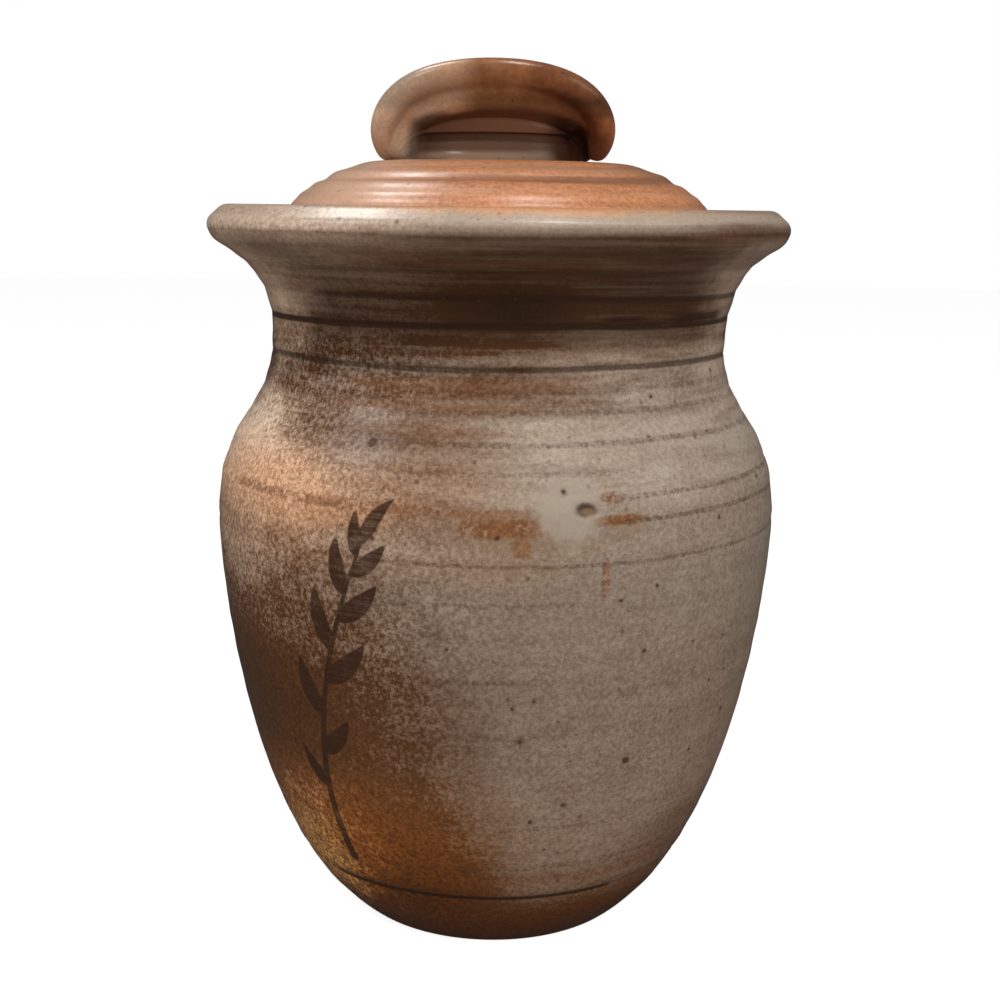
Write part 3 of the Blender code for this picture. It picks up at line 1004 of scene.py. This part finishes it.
# How the glazes mix up the wall: height in mm, then brown and ochre shares, and brightness
ASH_SIDE = (
    (0, 1.35, 0.06, 0.72),
    (12, 1.20, 0.08, 0.80),
    (18, 0.96, 0.08, 0.95),
    (26, 0.76, 0.08, 1.08),
    (40, 0.55, 0.06, 1.07),
    (80, 0.55, 0.02, 0.97),
    (112, 0.38, 0, 0.88),
    (130, 0.32, 0.02, 0.90),
    (141, 0.10, 0.02, 0.93),
    (153, 0.14, 0.02, 0.97),
    (160, 0.54, 0.03, 1.04),
    (169, 0.52, 0.04, 1.06),
    (174, 0.93, 0, 0.74),
    (184, 1.00, 0.01, 0.52),
    (189, 0.96, 0.02, 0.58),
    (193, 0.88, 0.03, 0.84),
    (198, 0.90, 0.03, 0.66),
    (200.2, 0.92, 0.03, 0.58),
    (201.6, 0.50, 0.04, 0.90),
    (204, 0.14, 0.04, 1.03),
    (207, 0.12, 0.14, 0.96),
)
FLAME_SIDE = (
    (0, 1.35, 0.08, 0.76),
    (20, 1.30, 0.10, 0.70),
    (30, 1.24, 0.18, 0.82),
    (42, 1.22, 0.22, 0.98),
    (52, 1.20, 0.18, 1),
    (66, 1.12, 0.08, 1.02),
    (84, 1.10, 0.04, 1.02),
    (100, 0.94, 0.06, 1.08),
    (113, 0.84, 0.10, 1.00),
    (123, 0.58, 0.28, 0.98),
    (133, 0.55, 0.45, 1.02),
    (141, 0.20, 0.42, 1.28),
    (148, 0.80, 0.16, 0.88),
    (160, 0.86, 0.07, 0.92),
    (167, 0.84, 0.03, 0.76),
    (173, 0.90, 0.02, 0.56),
    (181, 0.92, 0.02, 0.56),
    (187, 0.82, 0.03, 0.88),
    (193, 0.72, 0.04, 1.10),
    (198, 0.66, 0.04, 1.18),
    (199.8, 0.55, 0.05, 1.10),
    (201.2, 0.10, 0.08, 1.40),
    (204, 0.02, 0.08, 1.28),
    (207, 0.02, 0.15, 1.22),
)
# Where the flame side ends, in degrees from the front, and how softly, at heights in mm
FLAME_EDGE = (
    (0, 12, 18),
    (24, -2, 16),
    (60, -10, 24),
    (112, -20, 26),
    (134, -12, 22),
    (160, -4, 16),
    (176, -22, 16),
    (207, -26, 24),
)
# Turns between which it fades in again, coming round from the back
FLAME_BACK = (-158.0, -110.0)
# Glaze blushes, and painted light: some rows brighten the jar's far left and right edges, as a rim
# light would
BLUSHES_AND_PAINTED_GLOW = (  # height, half height, turn, half turn, then brown, ochre, brightness, and strength
    # Painted highlight: a pale, bright patch at the far left edge of the shoulder
    (143, 13, -64, 24, 0, 0.12, 2.00, 1),
    (135, 9, -50, 24, 0.12, 0.52, 1.40, 0.8),
    (116, 8, -62, 16, 0.25, 0.20, 1.30, 0.7),
    (75, 15, -62, 26, 1.36, 0.05, 0.82, 1),
    (34, 17, -42, 14, 0.90, 0.34, 1.35, 0.7),
    # Painted glow: a pale, bright patch low at the left edge
    (27, 17, -54, 15, 0.35, 0.18, 1.45, 0.9),
    (163.5, 6, -33, 9, 0.50, 0, 0.90, 0.6),
    (124.5, 3.4, -16, 15, 0.28, 0.08, 1.00, 0.8),
    (143, 12, -18, 15, 0.72, 0.16, 0.84, 0.65),
    (160.5, 4, -13, 20, 0.84, 0.10, 1.02, 0.75),
    (163.8, 3.4, 2, 12, 0.92, 0.05, 0.90, 0.7),
    (171, 5, -18, 18, 0.92, 0.02, 0.80, 0.5),
    (175, 2.6, -16, 12, 1.05, 0, 0.50, 0.7),
    # Painted rim light: the flare made brighter towards the left edge
    (189, 12, -57, 14, 0.55, 0.06, 1.45, 0.6),
    (151, 6, -41, 11, 0.82, 0.10, 0.80, 0.6),
    (129, 5, -9, 9, 0.66, 0.12, 0.86, 0.6),
    (150, 6, -27, 10, 0.85, 0.12, 0.76, 0.5),
    (80, 12, -12, 11, 1.00, 0.05, 0.92, 0.30),
    (187, 4, 30, 11, 1.05, 0.03, 0.46, 0.5),
    (195.5, 5, 49, 10, 0.80, 0.08, 1.00, 0.5),
    (196.5, 2.6, -34, 28, 0.45, 0.06, 1.30, 0.5),
    (158, 8, 66, 14, 0.20, 0.04, 1.12, 0.8),
    (121, 8, 2, 12, 0.46, 0.12, 0.92, 0.55),
    (33, 12, 60, 20, 0.84, 0.10, 0.85, 0.75),
    # Painted shade: the front of the neck under the rim made much darker
    (182.4, 5.6, 4, 12, 1.45, 0.04, 0.26, 0.92),
    # Painted rim light: the neck made brighter at the right edge, in this row and the next
    (194, 7, 64, 12, 0.40, 0.06, 1.50, 0.7),
    (186, 15, 68, 13, 0.45, 0.06, 1.50, 0.7),
    # Painted rim light: the neck made brighter at the left edge, in this row and the next
    (186, 14, -66, 12, 0.30, 0.12, 2, 0.8),
    (171, 6, -64, 12, 0.45, 0.06, 1.6, 0.7),
    (201.2, 2, 54, 22, 0.90, 0.05, 0.75, 0.8),
    (207.3, 1.8, 8, 26, 0.08, 0.80, 1.20, 0.95),
)
LINES = (  # height, half width, from, to, fade, strength
    (177.4, 1.05, -200, 200, 10, 0.95),
    (178.9, 1.9, 38, 68, 8, 0.92),
    (179.3, 1, 23, 35, 3, 0.75),
    (184.5, 1, -50, 172, 12, 0.62),
    (191.3, 0.6, -48, 56, 16, 0.45),
    (167, 0.95, -200, 200, 14, 0.72),
    (21.6, 0.85, -52, 37, 5, 0.90),
)
RUST_LINES = (
    (133.3, 1.3, -66, 10, 8, 0.65),
    (152, 1.2, -40, 6, 12, 0.30),
    (157.3, 1.3, -46, 14, 12, 0.40),
    (163, 1.8, -44, 26, 16, 0.45),
    (28, 1.6, -2, 58, 10, 0.40),
)
GROOVE_LINES = (  # where specks of iron gathered in the throwing rings
    (120.2, 0.6, -44, 170, 14, 0.62),
    (131, 0.7, 20, 178, 6, 0.80),
    (137, 0.7, 18, 160, 6, 0.72),
    (143, 0.8, -30, 30, 12, 0.40),
    (149.6, 0.7, -40, 176, 12, 0.62),
    (156.6, 0.8, -30, 150, 12, 0.58),
    (161.6, 0.8, -20, 176, 12, 0.45),
    (110, 0.8, -34, 20, 10, 0.40),
    (90, 0.9, -30, 12, 10, 0.45),
    (74, 0.9, -30, 20, 10, 0.35),
    (46, 0.9, -20, 34, 10, 0.40),
    (33, 1, -10, 50, 10, 0.50),
)
RUST_PATCHES = (  # height, half height, facing, half turn, strength
    (129.7, 2.8, 2, 9, 1),
    (125.4, 3.4, 4.5, 2.2, 0.70),
    (131, 1.5, 22.5, 5.8, 1),
    (136.4, 1.5, 21.6, 2.6, 0.85),
    (115.6, 5.2, 20, 0.8, 0.75),
    (196, 3, -20, 6, 0.25),
)
OLIVE_PATCHES = (
    (128, 5.5, 4, 9, 0.38),
    (130, 3.4, 24, 4, 0.50),
    (124.5, 2.6, 15, 5, 0.40),
    (119.5, 1.8, 4, 12, 0.35),
)
PALE_PATCHES = ((133.6, 8.0, 13.5, 6.0, 0.80),)
PIT_RIM = ((PIT[1] + 0.2, 1.7, PIT[0], 2.1, 0.9),)
PIT_FLOOR = ((PIT[1] - 0.3, 0.95, PIT[0] + 0.4, 1.25, 0.85),)
SPOTS = (  # turn, height, radius in mm
    (28.1, 64.8, 1.15),
    (15.3, 53.6, 0.80),
    (8.4, 48.8, 0.75),
    (5.3, 73.4, 0.85),
    (7.6, 84.6, 0.60),
    (3.6, 82.6, 0.60),
    (-1.7, 79, 0.50),
    (-8.4, 98.4, 0.50),
    (12.7, 78.8, 0.42),
    (15.5, 66.6, 0.48),
    (23.2, 110.4, 0.60),
    (30.8, 113.4, 0.55),
    (29, 96, 0.62),
    (46.4, 128.2, 0.65),
    (51, 95, 0.50),
    (54, 83.8, 0.62),
    (48.4, 82.6, 0.50),
    (46.8, 62.6, 0.60),
    (57.2, 71, 0.60),
    (12.4, 138.4, 0.70),
    (-22.1, 125.8, 0.60),
    (-25.3, 148.5, 1.30),
    (0.4, 127.4, 0.60),
    (64.4, 135.6, 0.70),
    (45.9, 143.8, 0.55),
    (32.7, 150, 0.55),
    (61.7, 164.2, 0.60),
    (36.3, 159.4, 0.50),
)


def wall_point(turn, height, outside):
    """The place on the jar's outer wall at a turn in degrees and a height in millimetres."""
    radius, side = float(wall_radius(height, outside)), math.radians(turn)
    return Vector((radius * math.sin(side), -radius * math.cos(side), height * MM))


def flame_amount(wall):
    """How much of the flame side lies here: all of it at the left, ending along a slanting edge."""
    stops = [
        (height / WALL_REACH, ((turn + 90.0) / 180.0, soft / 90.0, 0.0))
        for height, turn, soft in FLAME_EDGE
    ]
    edge = wall.graph.ramp(wall.level / WALL_REACH, stops)
    turn, soft, _ = wall.graph.parts("ShaderNodeSeparateColor", edge).values()
    beyond = (wall.facing - turn.remap(0.0, 1.0, -90.0, 90.0, "LINEAR")) / (soft * 90.0)
    return beyond.remap(-1.0, 1.0, 1.0, 0.0) * wall.facing.remap(*FLAME_BACK)


def jar_recipe(wall, patches, flame, ragged):
    """The mix of glazes on the jar: an ash side, a flame side, and blushes between and on them, with
    painted rim light at its left and right edges and painted shade on the front of the neck.
    """
    ash_side = recipe_ramp(wall.level, WALL_REACH, ASH_SIDE)
    mixed = wall.graph.mix(flame, ash_side, recipe_ramp(wall.level, WALL_REACH, FLAME_SIDE))
    for *place, brown, ochre, bright, strength in BLUSHES_AND_PAINTED_GLOW:
        amount = wall.patches(patches, ((*place, strength),), ragged, 0.75)
        mixed = wall.graph.mix(amount, mixed, (brown / 2, ochre / 2, bright / 2))
    return mixed


def spots_amount(wall, outside):
    """How much of an iron spot lies here, from 0 beside the spots to 1 in their middles."""
    graph = wall.graph
    across, upward = wall.mottled * SPOT_RAGGED, wall.grained * SPOT_RAGGED
    scatter = graph.value("ShaderNodeCombineXYZ", across, upward, across)
    place = graph.value("ShaderNodeVectorMath", wall.place, scatter, operation="ADD")
    nearest = None
    for turn, height, radius in SPOTS:
        middle = wall_point(turn, height, outside)
        apart = graph.value("ShaderNodeVectorMath", place, middle, operation="DISTANCE", output="Value")
        radii = apart / (radius * MM)
        nearest = graph.calc("MINIMUM", nearest, radii) if nearest else radii
    halo = nearest.remap(0.8, 2.6, 0.5, 0.0) * wall.grain.remap(0.4, 0.6)
    return strongest(nearest.remap(0.6, 1.35, 1.0, 0.0), halo)


def speckle(wall, size, low, high, shift=0.0):
    """Small dark specks, scattered at random."""
    cells = wall.graph.add("ShaderNodeTexVoronoi", feature="F1")
    inputs = {"Vector": wall.graph.stretch(wall.place, 1.0, 1.0, shift), "Scale": size}
    near = wall.graph.filled(cells, inputs, "Distance").remap(0.05, 0.20, 1.0, 0.0)
    shade = Value(wall.graph, cells.outputs["Color"])
    return near * wall.graph.value("ShaderNodeSeparateColor", shade).remap(low, high)


def jar_wander(wall):
    """How much browner and brighter than its recipe the jar's glaze is here."""
    left = wall.facing.remap(-44.0, 4.0, 1.0, 0.0) * wall.facing.remap(*FLAME_BACK)
    neck = wall.height.remap(168.0, 178.0)
    shoulder = wall.graph.calc("ABSOLUTE", wall.height - 155.0).remap(14.0, 24.0, 1.0, 0.0)
    calm = wall.height.remap(199.0, 202.0).between(neck.between(1.0, 0.30), 0.55)
    speckled = (
        wall.mottled * left.between(0.27, 0.58)
        + wall.grained * left.between(0.15, 0.55)
        + wall.salt * left.between(0.10, 0.24)
    )
    browner = (
        speckled * calm
        + wall.drawn * neck.between(0.14, 0.80)
        + wall.banded * shoulder.between(0.25, 1.30)
        + wall.threaded * neck.between(0.05, 0.20)
    )
    return browner, wall.salt * left.between(-0.10, -0.30) * calm + wall.grained * 0.35


def jar_glaze(colours, outside):
    """Satin glaze that runs from grey-beige to iron brown, with rust, umber lines and brushwork."""
    material, graph, wall = new_glaze("jar_glaze")
    lines, patches = line_group(), patch_group()
    browner, brighter = jar_wander(wall)
    ragged = wall.mottle.remap(0.2, 0.8, -0.55, 0.55, "LINEAR")
    flame = flame_amount(wall)
    low = strongest(
        wall.level.remap(34.0, 74.0, 1.0, 0.0) * flame, wall.level.remap(13.0, 21.0, 0.85, 0.0)
    )
    brighter = brighter + wall.salt * (low * -0.22) + 1.0
    recipe = jar_recipe(wall, patches, flame, ragged * 0.6)
    tint = recipe_colour(graph, recipe, colours, browner, brighter)
    tint = graph.mix(low, tint, graph.times(tint, (1.06, 0.78, 0.36)))

    # Rust that breaks through, olive round it, and the pale glaze beside the pit
    broken = (wall.mottle + wall.salt * 0.10).remap(0.34, 0.52)
    olive = wall.patches(patches, OLIVE_PATCHES, ragged, 0.6)
    tint = graph.mix(olive * broken, tint, OLIVE)
    rust = strongest(
        wall.lines(lines, RUST_LINES), wall.patches(patches, RUST_PATCHES, ragged, 0.32)
    )
    rust_tint = graph.times(colours.rust, wall.salt * -0.28 + 1.0)
    tint = graph.mix(rust * (broken * 0.70 + 0.30), tint, rust_tint)
    pale = wall.patches(patches, PALE_PATCHES, ragged, 0.45)
    tint = graph.mix(pale, tint, graph.times(colours.pale, (0.92, 0.94, 0.94)))

    # Specks in the throwing rings, brushed lines, the pit and the iron spots
    seeds = (wall.grain + wall.salt * 0.16 + wall.mottled * 0.6).remap(0.38, 0.72)
    grooves = wall.lines(lines, GROOVE_LINES) * seeds.between(0.34, 0.95)
    tint = graph.mix(grooves, tint, colours.groove)
    dry = (wall.thread + wall.grained * 0.5).remap(0.25, 0.50)
    umber = wall.lines(lines, LINES) * dry.between(0.75, 1.0)
    tint = graph.mix(umber, tint, colours.umber)
    pit = wall.patches(patches, PIT_RIM, ragged * 0.9, 0.35)
    tint = graph.mix(pit, tint, colours.spot)
    pit_floor = wall.patches(patches, PIT_FLOOR, ragged * 0.9, 0.45)
    tint = graph.mix(pit_floor, tint, colours.clay)
    specks = strongest(speckle(wall, 210.0, 0.66, 0.74), speckle(wall, 460.0, 0.52, 0.66, 2.0) * 0.8)
    tint = graph.mix(specks * pale.between(0.65, 0.2), tint, colours.groove)
    spots = spots_amount(wall, outside)
    tint = graph.mix(spots * 0.88, tint, colours.spot)

    # The brushed sprig, the thin glaze inside, and bare clay
    edge = graph.attribute("brush_edge")
    edge = edge + wall.mottled * 0.55 + wall.grained * 0.5 + wall.salt * 0.12
    brushed = edge.remap(-0.22, 0.16, 1.0, 0.0)
    thin = (wall.mottle + wall.thread).remap(0.75, 1.15, 0.72, 0.97)
    tint = graph.mix(brushed * thin, tint, colours.brush)
    inside_tint = graph.mix(wall.streak.remap(0.35, 0.65), colours.pale, colours.brown)
    inside_tint = graph.mix(0.45, inside_tint, colours.pale)
    tint = graph.mix(graph.attribute("inside"), tint, inside_tint)
    clay_tint = graph.mix(wall.mottle, colours.clay, colours.rust)
    bare = (graph.attribute("bare_clay") + wall.mottled * 0.3).remap(0.35, 0.6)
    tint = graph.mix(bare, tint, graph.mix(wall.grain, clay_tint, colours.clay))

    roughness = strongest(umber, brushed).between(wall.satin(0.31, 0.45), 0.34)
    roughness = strongest(bare, spots).between(roughness, BARE_ROUGHNESS)
    height = wall.grain * 0.35 + wall.thread * 0.45 + wall.mottle * 0.9 - spots * 0.2 + brushed * 0.15
    finish_glaze(graph, tint, roughness, height, 0.10 * MM)
    return material


# Lid recipe: radius in mm, then brown and ochre shares, and brightness
LID_RECIPE = (
    (0, 0.55, 0.35, 0.80),
    (28, 0.45, 0.60, 0.84),
    (40, 0.25, 0.86, 0.94),
    (52, 0.20, 0.92, 0.97),
    (60, 0.20, 0.86, 0.98),
    (66, 0.35, 0.35, 0.90),
    (80, 0.55, 0.20, 0.80),
)
LID_REACH = 80.0
LID_LINES = ((214.3, 1.05, -50.0, 181.0, 50.0, 0.66), (217.3, 0.45, -30.0, 120.0, 20.0, 0.30))


def lid_glaze(colours):
    """Orange glaze on the dome, with a darker line in its groove, painted light on its left side, and
    bare clay where it seats.
    """
    material, graph, wall = new_glaze("lid_glaze")
    browner = wall.grained * 0.80 + wall.mottled * 0.75 + wall.threaded * 0.30 + wall.salt * 0.11
    brighter = wall.salt * -0.20 + 1.0 + (wall.banded + wall.drawn) * 0.90
    recipe = recipe_ramp(wall.radius, LID_REACH, LID_RECIPE)
    tint = recipe_colour(graph, recipe, colours, browner, brighter)
    tint = graph.times(tint, (0.98, 0.92, 1.06))
    tint = graph.mix(wall.lines(line_group(), LID_LINES), tint, (0.23, 0.10, 0.055))
    tint = graph.mix(wall.streak.remap(0.54, 0.72) * 0.30, tint, colours.pale)
    # Painted light: the left side of the dome made paler and warmer, like lamp light falling on it
    warm = wall.facing.remap(-12.0, -55.0, 0.0, 0.45) * wall.facing.remap(*FLAME_BACK)
    tint = graph.mix(warm, tint, (0.72, 0.56, 0.43))
    tint = graph.mix(speckle(wall, 260.0, 0.84, 0.90) * 0.6, tint, colours.brown)
    seat = wall.height.remap(198.9, 199.3, 1.0, 0.0) * wall.radius.remap(54.0, 55.0)
    tint = graph.mix(seat, tint, graph.mix(wall.mottle, colours.clay, colours.rust))
    roughness = seat.between(wall.satin(0.30, 0.44), BARE_ROUGHNESS)
    height = wall.grain * 0.35 + wall.mottle + wall.thread * 0.5
    finish_glaze(graph, tint, roughness, height, 0.09 * MM)
    return material


# Knob: stops of its ramps, across its face from left to right, and up from the lid
KNOB_FACE = (
    (0, (0.48, 0.36, 0.27)),
    (0.2, (0.42, 0.29, 0.20)),
    (0.45, (0.17, 0.066, 0.028)),
    (0.8, (0.15, 0.042, 0.016)),
    (1, (0.17, 0.060, 0.028)),
)
KNOB_STEM_REACH = 16.0
KNOB_STEM = (
    (0, (0.24, 0.16, 0.11)),
    (0.10, (0.22, 0.14, 0.10)),
    (0.17, (0.11, 0.058, 0.036)),
    (0.30, (0.10, 0.052, 0.032)),
    (0.33, (0.060, 0.026, 0.014)),
    (0.44, (0.062, 0.026, 0.013)),
    (0.47, (0.13, 0.054, 0.028)),
    (0.62, (0.125, 0.048, 0.024)),
    (1, (0.12, 0.042, 0.016)),
)
# Painted light and shade up the knob, by share of its height: lighter near the root of the brim and at
# the lip, darker between
KNOB_PAINTED_SHADE_REACH = 28.0
KNOB_PAINTED_SHADE = ((0.0, 0.50), (0.30, 0.68), (0.42, 0.74), (0.55, 0.45), (0.78, 0.42), (1.0, 0.66))


def knob_glaze(colours, sizes):
    """Glossier brown glaze, darker in the grooves of the stem, with painted light and shade up the knob
    and painted shade in its folds and beside its stem.
    """
    material, graph, wall = new_glaze("knob_glaze")
    # Turn from the nearer of front and back, so that the back is like the front
    sideways = graph.calc("ARCTAN2", wall.x, graph.calc("ABSOLUTE", wall.y)) * TO_DEGREES
    rise = wall.height - sizes.base / MM
    stem = wall.radius.remap(24.0, 26.0, 1.0, 0.0)
    face = (wall.x * TO_MM).remap(-34.0, 30.0)
    lighter = (wall.mottled + (wall.cloud - 0.5)) * 0.9
    lighter = graph.calc("ADD", lighter, 0.15, clamp=True)
    tint = graph.mix(lighter, graph.ramp(face, KNOB_FACE), colours.ochre)
    tint = graph.mix(wall.grain.remap(0.60, 0.75) * 0.25, tint, colours.rust)
    # Painted light and shade: the knob's colour made lighter or darker by height
    shade = graph.ramp(rise / KNOB_PAINTED_SHADE_REACH, [(place, (grey,) * 3) for place, grey in KNOB_PAINTED_SHADE])
    tint = graph.times(tint, graph.doubled(shade))

    # Painted shade: darker along the arch from the middle to the right, in the left fold and beside the
    # stem
    dim = rise.remap(10.0, 12.5) * rise.remap(15.5, 19.0, 1.0, 0.0) * face.remap(0.22, 0.45)
    tint = graph.mix(dim * 0.52, tint, BLACK)
    # Painted shade in the hollow of the left fold
    painted_recess_shade = wall.radius.remap(25.8, 28.6, 1.0, 0.0) * sideways.remap(-28.0, -38.0)
    painted_recess_shade = painted_recess_shade * rise.remap(11.0, 14.0, 1.0, 0.0)
    tint = graph.times(graph.mix(painted_recess_shade * 0.74, tint, BLACK), wall.salt * -0.11 + 1.0)
    # Painted shade on the stem at its sides, under the folded brim
    beside = strongest(sideways.remap(30.0, 52.0), sideways.remap(-62.0, -76.0))
    beside = beside * rise.remap(13.0, 15.5, 1.0, 0.0)
    stem_tint = graph.ramp(rise / KNOB_STEM_REACH, KNOB_STEM, "LINEAR")
    stem_tint = graph.mix(beside, stem_tint, (0.05, 0.019, 0.010))
    tint = graph.mix(stem, tint, stem_tint)
    tint = graph.mix(speckle(wall, 300.0, 0.84, 0.90) * 0.5, tint, colours.umber)
    ring = rise.remap(2.4, 3.2) * rise.remap(6.6, 7.4, 1.0, 0.0)
    roughness = (ring * stem).between(wall.satin(0.26, 0.38), 0.75)
    finish_glaze(graph, tint, roughness, wall.grain * 0.25 + wall.mottle, 0.09 * MM)
    return material


# Stage

GLOSS_SHARE = 0.3
WHITE = (1.0, 1.0, 1.0)
LAMP_TARGET = Vector((0, 0, 0.13))


def floor_material():
    """Pale floor that keeps the canister's shadow, is white to the camera and dim in gloss."""
    material = bpy.data.materials.new("floor_paper")
    material.use_nodes = True
    material.node_tree.nodes.clear()
    graph = Graph(material.node_tree)
    paths = graph.parts("ShaderNodeLightPath")
    seen = strongest(paths["Is Camera Ray"], paths["Is Transmission Ray"])
    grey = graph.mix(seen, (0.42, 0.40, 0.38), (0.40, 0.40, 0.40))
    grey = graph.mix(paths["Is Glossy Ray"], grey, (0.12, 0.11, 0.10))
    lit = graph.value("ShaderNodeBsdfDiffuse", grey)
    glow = graph.value("ShaderNodeEmission", WHITE, seen * 0.86)
    graph.add("ShaderNodeOutputMaterial", graph.value("ShaderNodeAddShader", lit, glow))
    return material


def add_floor():
    sheet = bmesh.new()
    bmesh.ops.create_circle(sheet, cap_ends=True, segments=96, radius=4.0)
    mesh = bpy.data.meshes.new("floor")
    sheet.to_mesh(mesh)
    sheet.free()
    mesh.materials.append(floor_material())
    floor = bpy.data.objects.new("floor", mesh)
    bpy.context.scene.collection.objects.link(floor)


def add_lamp(name, place, size, power, tint):
    """A soft lamp with a width and height, that faces the middle of the canister."""
    lamp = bpy.data.lights.new(name, "AREA")
    lamp.shape = "RECTANGLE"
    lamp.size, lamp.size_y = size
    lamp.energy = power
    lamp.color = tint
    holder = bpy.data.objects.new(name, lamp)
    holder.location = place
    aim = LAMP_TARGET - Vector(place)
    holder.rotation_euler = aim.to_track_quat("-Z", "Y").to_euler()
    bpy.context.scene.collection.objects.link(holder)
    return holder


def set_world(room_light):
    """Even room light: white to the camera, and dimmer in gloss, so that dark glaze stays dark."""
    world = bpy.data.worlds.new("room")
    bpy.context.scene.world = world
    world.use_nodes = True
    graph = Graph(world.node_tree)
    paths = graph.parts("ShaderNodeLightPath")
    seen = strongest(paths["Is Camera Ray"], paths["Is Transmission Ray"])
    dim = paths["Is Glossy Ray"].between(room_light, room_light * GLOSS_SHARE)
    background = world.node_tree.nodes["Background"]
    graph.filled(background, {"Color": WHITE, "Strength": seen.between(dim, 1.0)}, 0)


def add_camera(settings):
    pitch, yaw, roll = -settings.camera_pitch, settings.camera_yaw, settings.camera_roll
    flat = math.cos(pitch)
    ahead = Vector((math.sin(yaw) * flat, math.cos(yaw) * flat, math.sin(pitch)))
    level = ahead.cross(Vector((0, 0, 1))).normalized()
    right = math.cos(roll) * level + math.sin(roll) * level.cross(ahead)
    turn = Matrix((right, right.cross(ahead), -ahead)).transposed().to_4x4()
    camera = bpy.data.cameras.new("camera")
    camera.sensor_width = 36.0
    camera.lens = settings.camera_lens
    camera.clip_start = 0.01
    holder = bpy.data.objects.new("camera", camera)
    holder.matrix_world = Matrix.Translation(settings.camera_place) @ turn
    bpy.context.scene.collection.objects.link(holder)
    bpy.context.scene.camera = holder


class CANISTER_OT_jar(bpy.types.Operator):
    """Turn the jar, with its throwing rings, ledge and brushwork"""

    bl_idname = "canister.jar"
    bl_label = "Jar"

    def execute(self, context):
        sizes, colours = context.scene.jar_sizes, context.scene.glaze_colours
        body = turned(jar_profile(sizes), jar_sectors())
        settle_jar(body, sizes)
        outside = jar_outside(sizes)
        material = jar_glaze(colours, outside)
        piece = add_piece("jar_clay", body, "jar_body", "jar", material)
        mark_jar(piece.data, sizes, outside)
        return {"FINISHED"}


class CANISTER_OT_lid(bpy.types.Operator):
    """Turn the domed lid with its flange and centring ring"""

    bl_idname = "canister.lid"
    bl_label = "Lid"

    def execute(self, context):
        body = turned(lid_profile(context.scene.lid_sizes), whole_turn(180))
        material = lid_glaze(context.scene.glaze_colours)
        add_piece("lid_clay", body, "lid", "lid", material)
        return {"FINISHED"}


class CANISTER_OT_knob(bpy.types.Operator):
    """Turn the knob flat and bend its brim into a saddle"""

    bl_idname = "canister.knob"
    bl_label = "Knob"

    def execute(self, context):
        sizes = context.scene.knob_sizes
        profile = knob_profile(sizes)
        body = turned(profile, whole_turn(240))
        bend_brim(body, profile, sizes)
        bmesh.ops.translate(body, verts=body.verts, vec=(-sizes.off_centre, 0, sizes.base))
        material = knob_glaze(context.scene.glaze_colours, sizes)
        add_piece("knob_clay", body, "lid_knob", "lid", material)
        return {"FINISHED"}


class CANISTER_OT_stage(bpy.types.Operator):
    """Add the pale floor, the lamps, the room light and the camera"""

    bl_idname = "canister.stage"
    bl_label = "Stage"

    def execute(self, context):
        settings = context.scene.stage_settings
        context.scene.view_settings.view_transform = "Standard"
        add_floor()
        set_world(settings.room_light)
        warm, plain = (1.0, 0.95, 0.88), (1.0, 0.98, 0.96)
        key = add_lamp("key", (0.22, -1.22, 0.80), (0.55, 0.55), settings.key_power, plain)
        key.visible_glossy = False
        for name, place in (("gloss_front", (0.25, -0.26, 1.33)), ("gloss_back", (-0.50, 0.34, 1.22))):
            gloss = add_lamp(name, place, (0.16, 0.32), settings.gloss_power, plain)
            gloss.visible_diffuse = False
        add_lamp("side", (-0.92, -0.33, 1.04), (0.30, 0.30), settings.side_power, warm)
        add_lamp("fill", (1.1, -0.35, 0.55), (0.6, 0.6), settings.fill_power, plain)
        add_camera(settings)
        return {"FINISHED"}


class CANISTER_PT_panel(bpy.types.Panel):
    bl_label = "Canister"
    bl_idname = "CANISTER_PT_panel"
    bl_space_type = "VIEW_3D"
    bl_region_type = "UI"
    bl_category = "Canister"

    def draw(self, context):
        for operator in OPERATORS:
            self.layout.operator(operator.bl_idname)


SETTINGS = {
    "jar_sizes": JarSizes,
    "lid_sizes": LidSizes,
    "knob_sizes": KnobSizes,
    "glaze_colours": GlazeColours,
    "stage_settings": StageSettings,
}
OPERATORS = (CANISTER_OT_jar, CANISTER_OT_lid, CANISTER_OT_knob, CANISTER_OT_stage)


def register():
    for kind in (*SETTINGS.values(), *OPERATORS, CANISTER_PT_panel):
        bpy.utils.register_class(kind)
    for name, kind in SETTINGS.items():
        setattr(bpy.types.Scene, name, PointerProperty(type=kind))


def unregister():
    for name in SETTINGS:
        delattr(bpy.types.Scene, name)
    for kind in reversed((*SETTINGS.values(), *OPERATORS, CANISTER_PT_panel)):
        bpy.utils.unregister_class(kind)


def main():
    register()
    bpy.ops.canister.jar()
    bpy.ops.canister.lid()
    bpy.ops.canister.knob()
    bpy.ops.canister.stage()


if __name__ == "__main__":
    main()
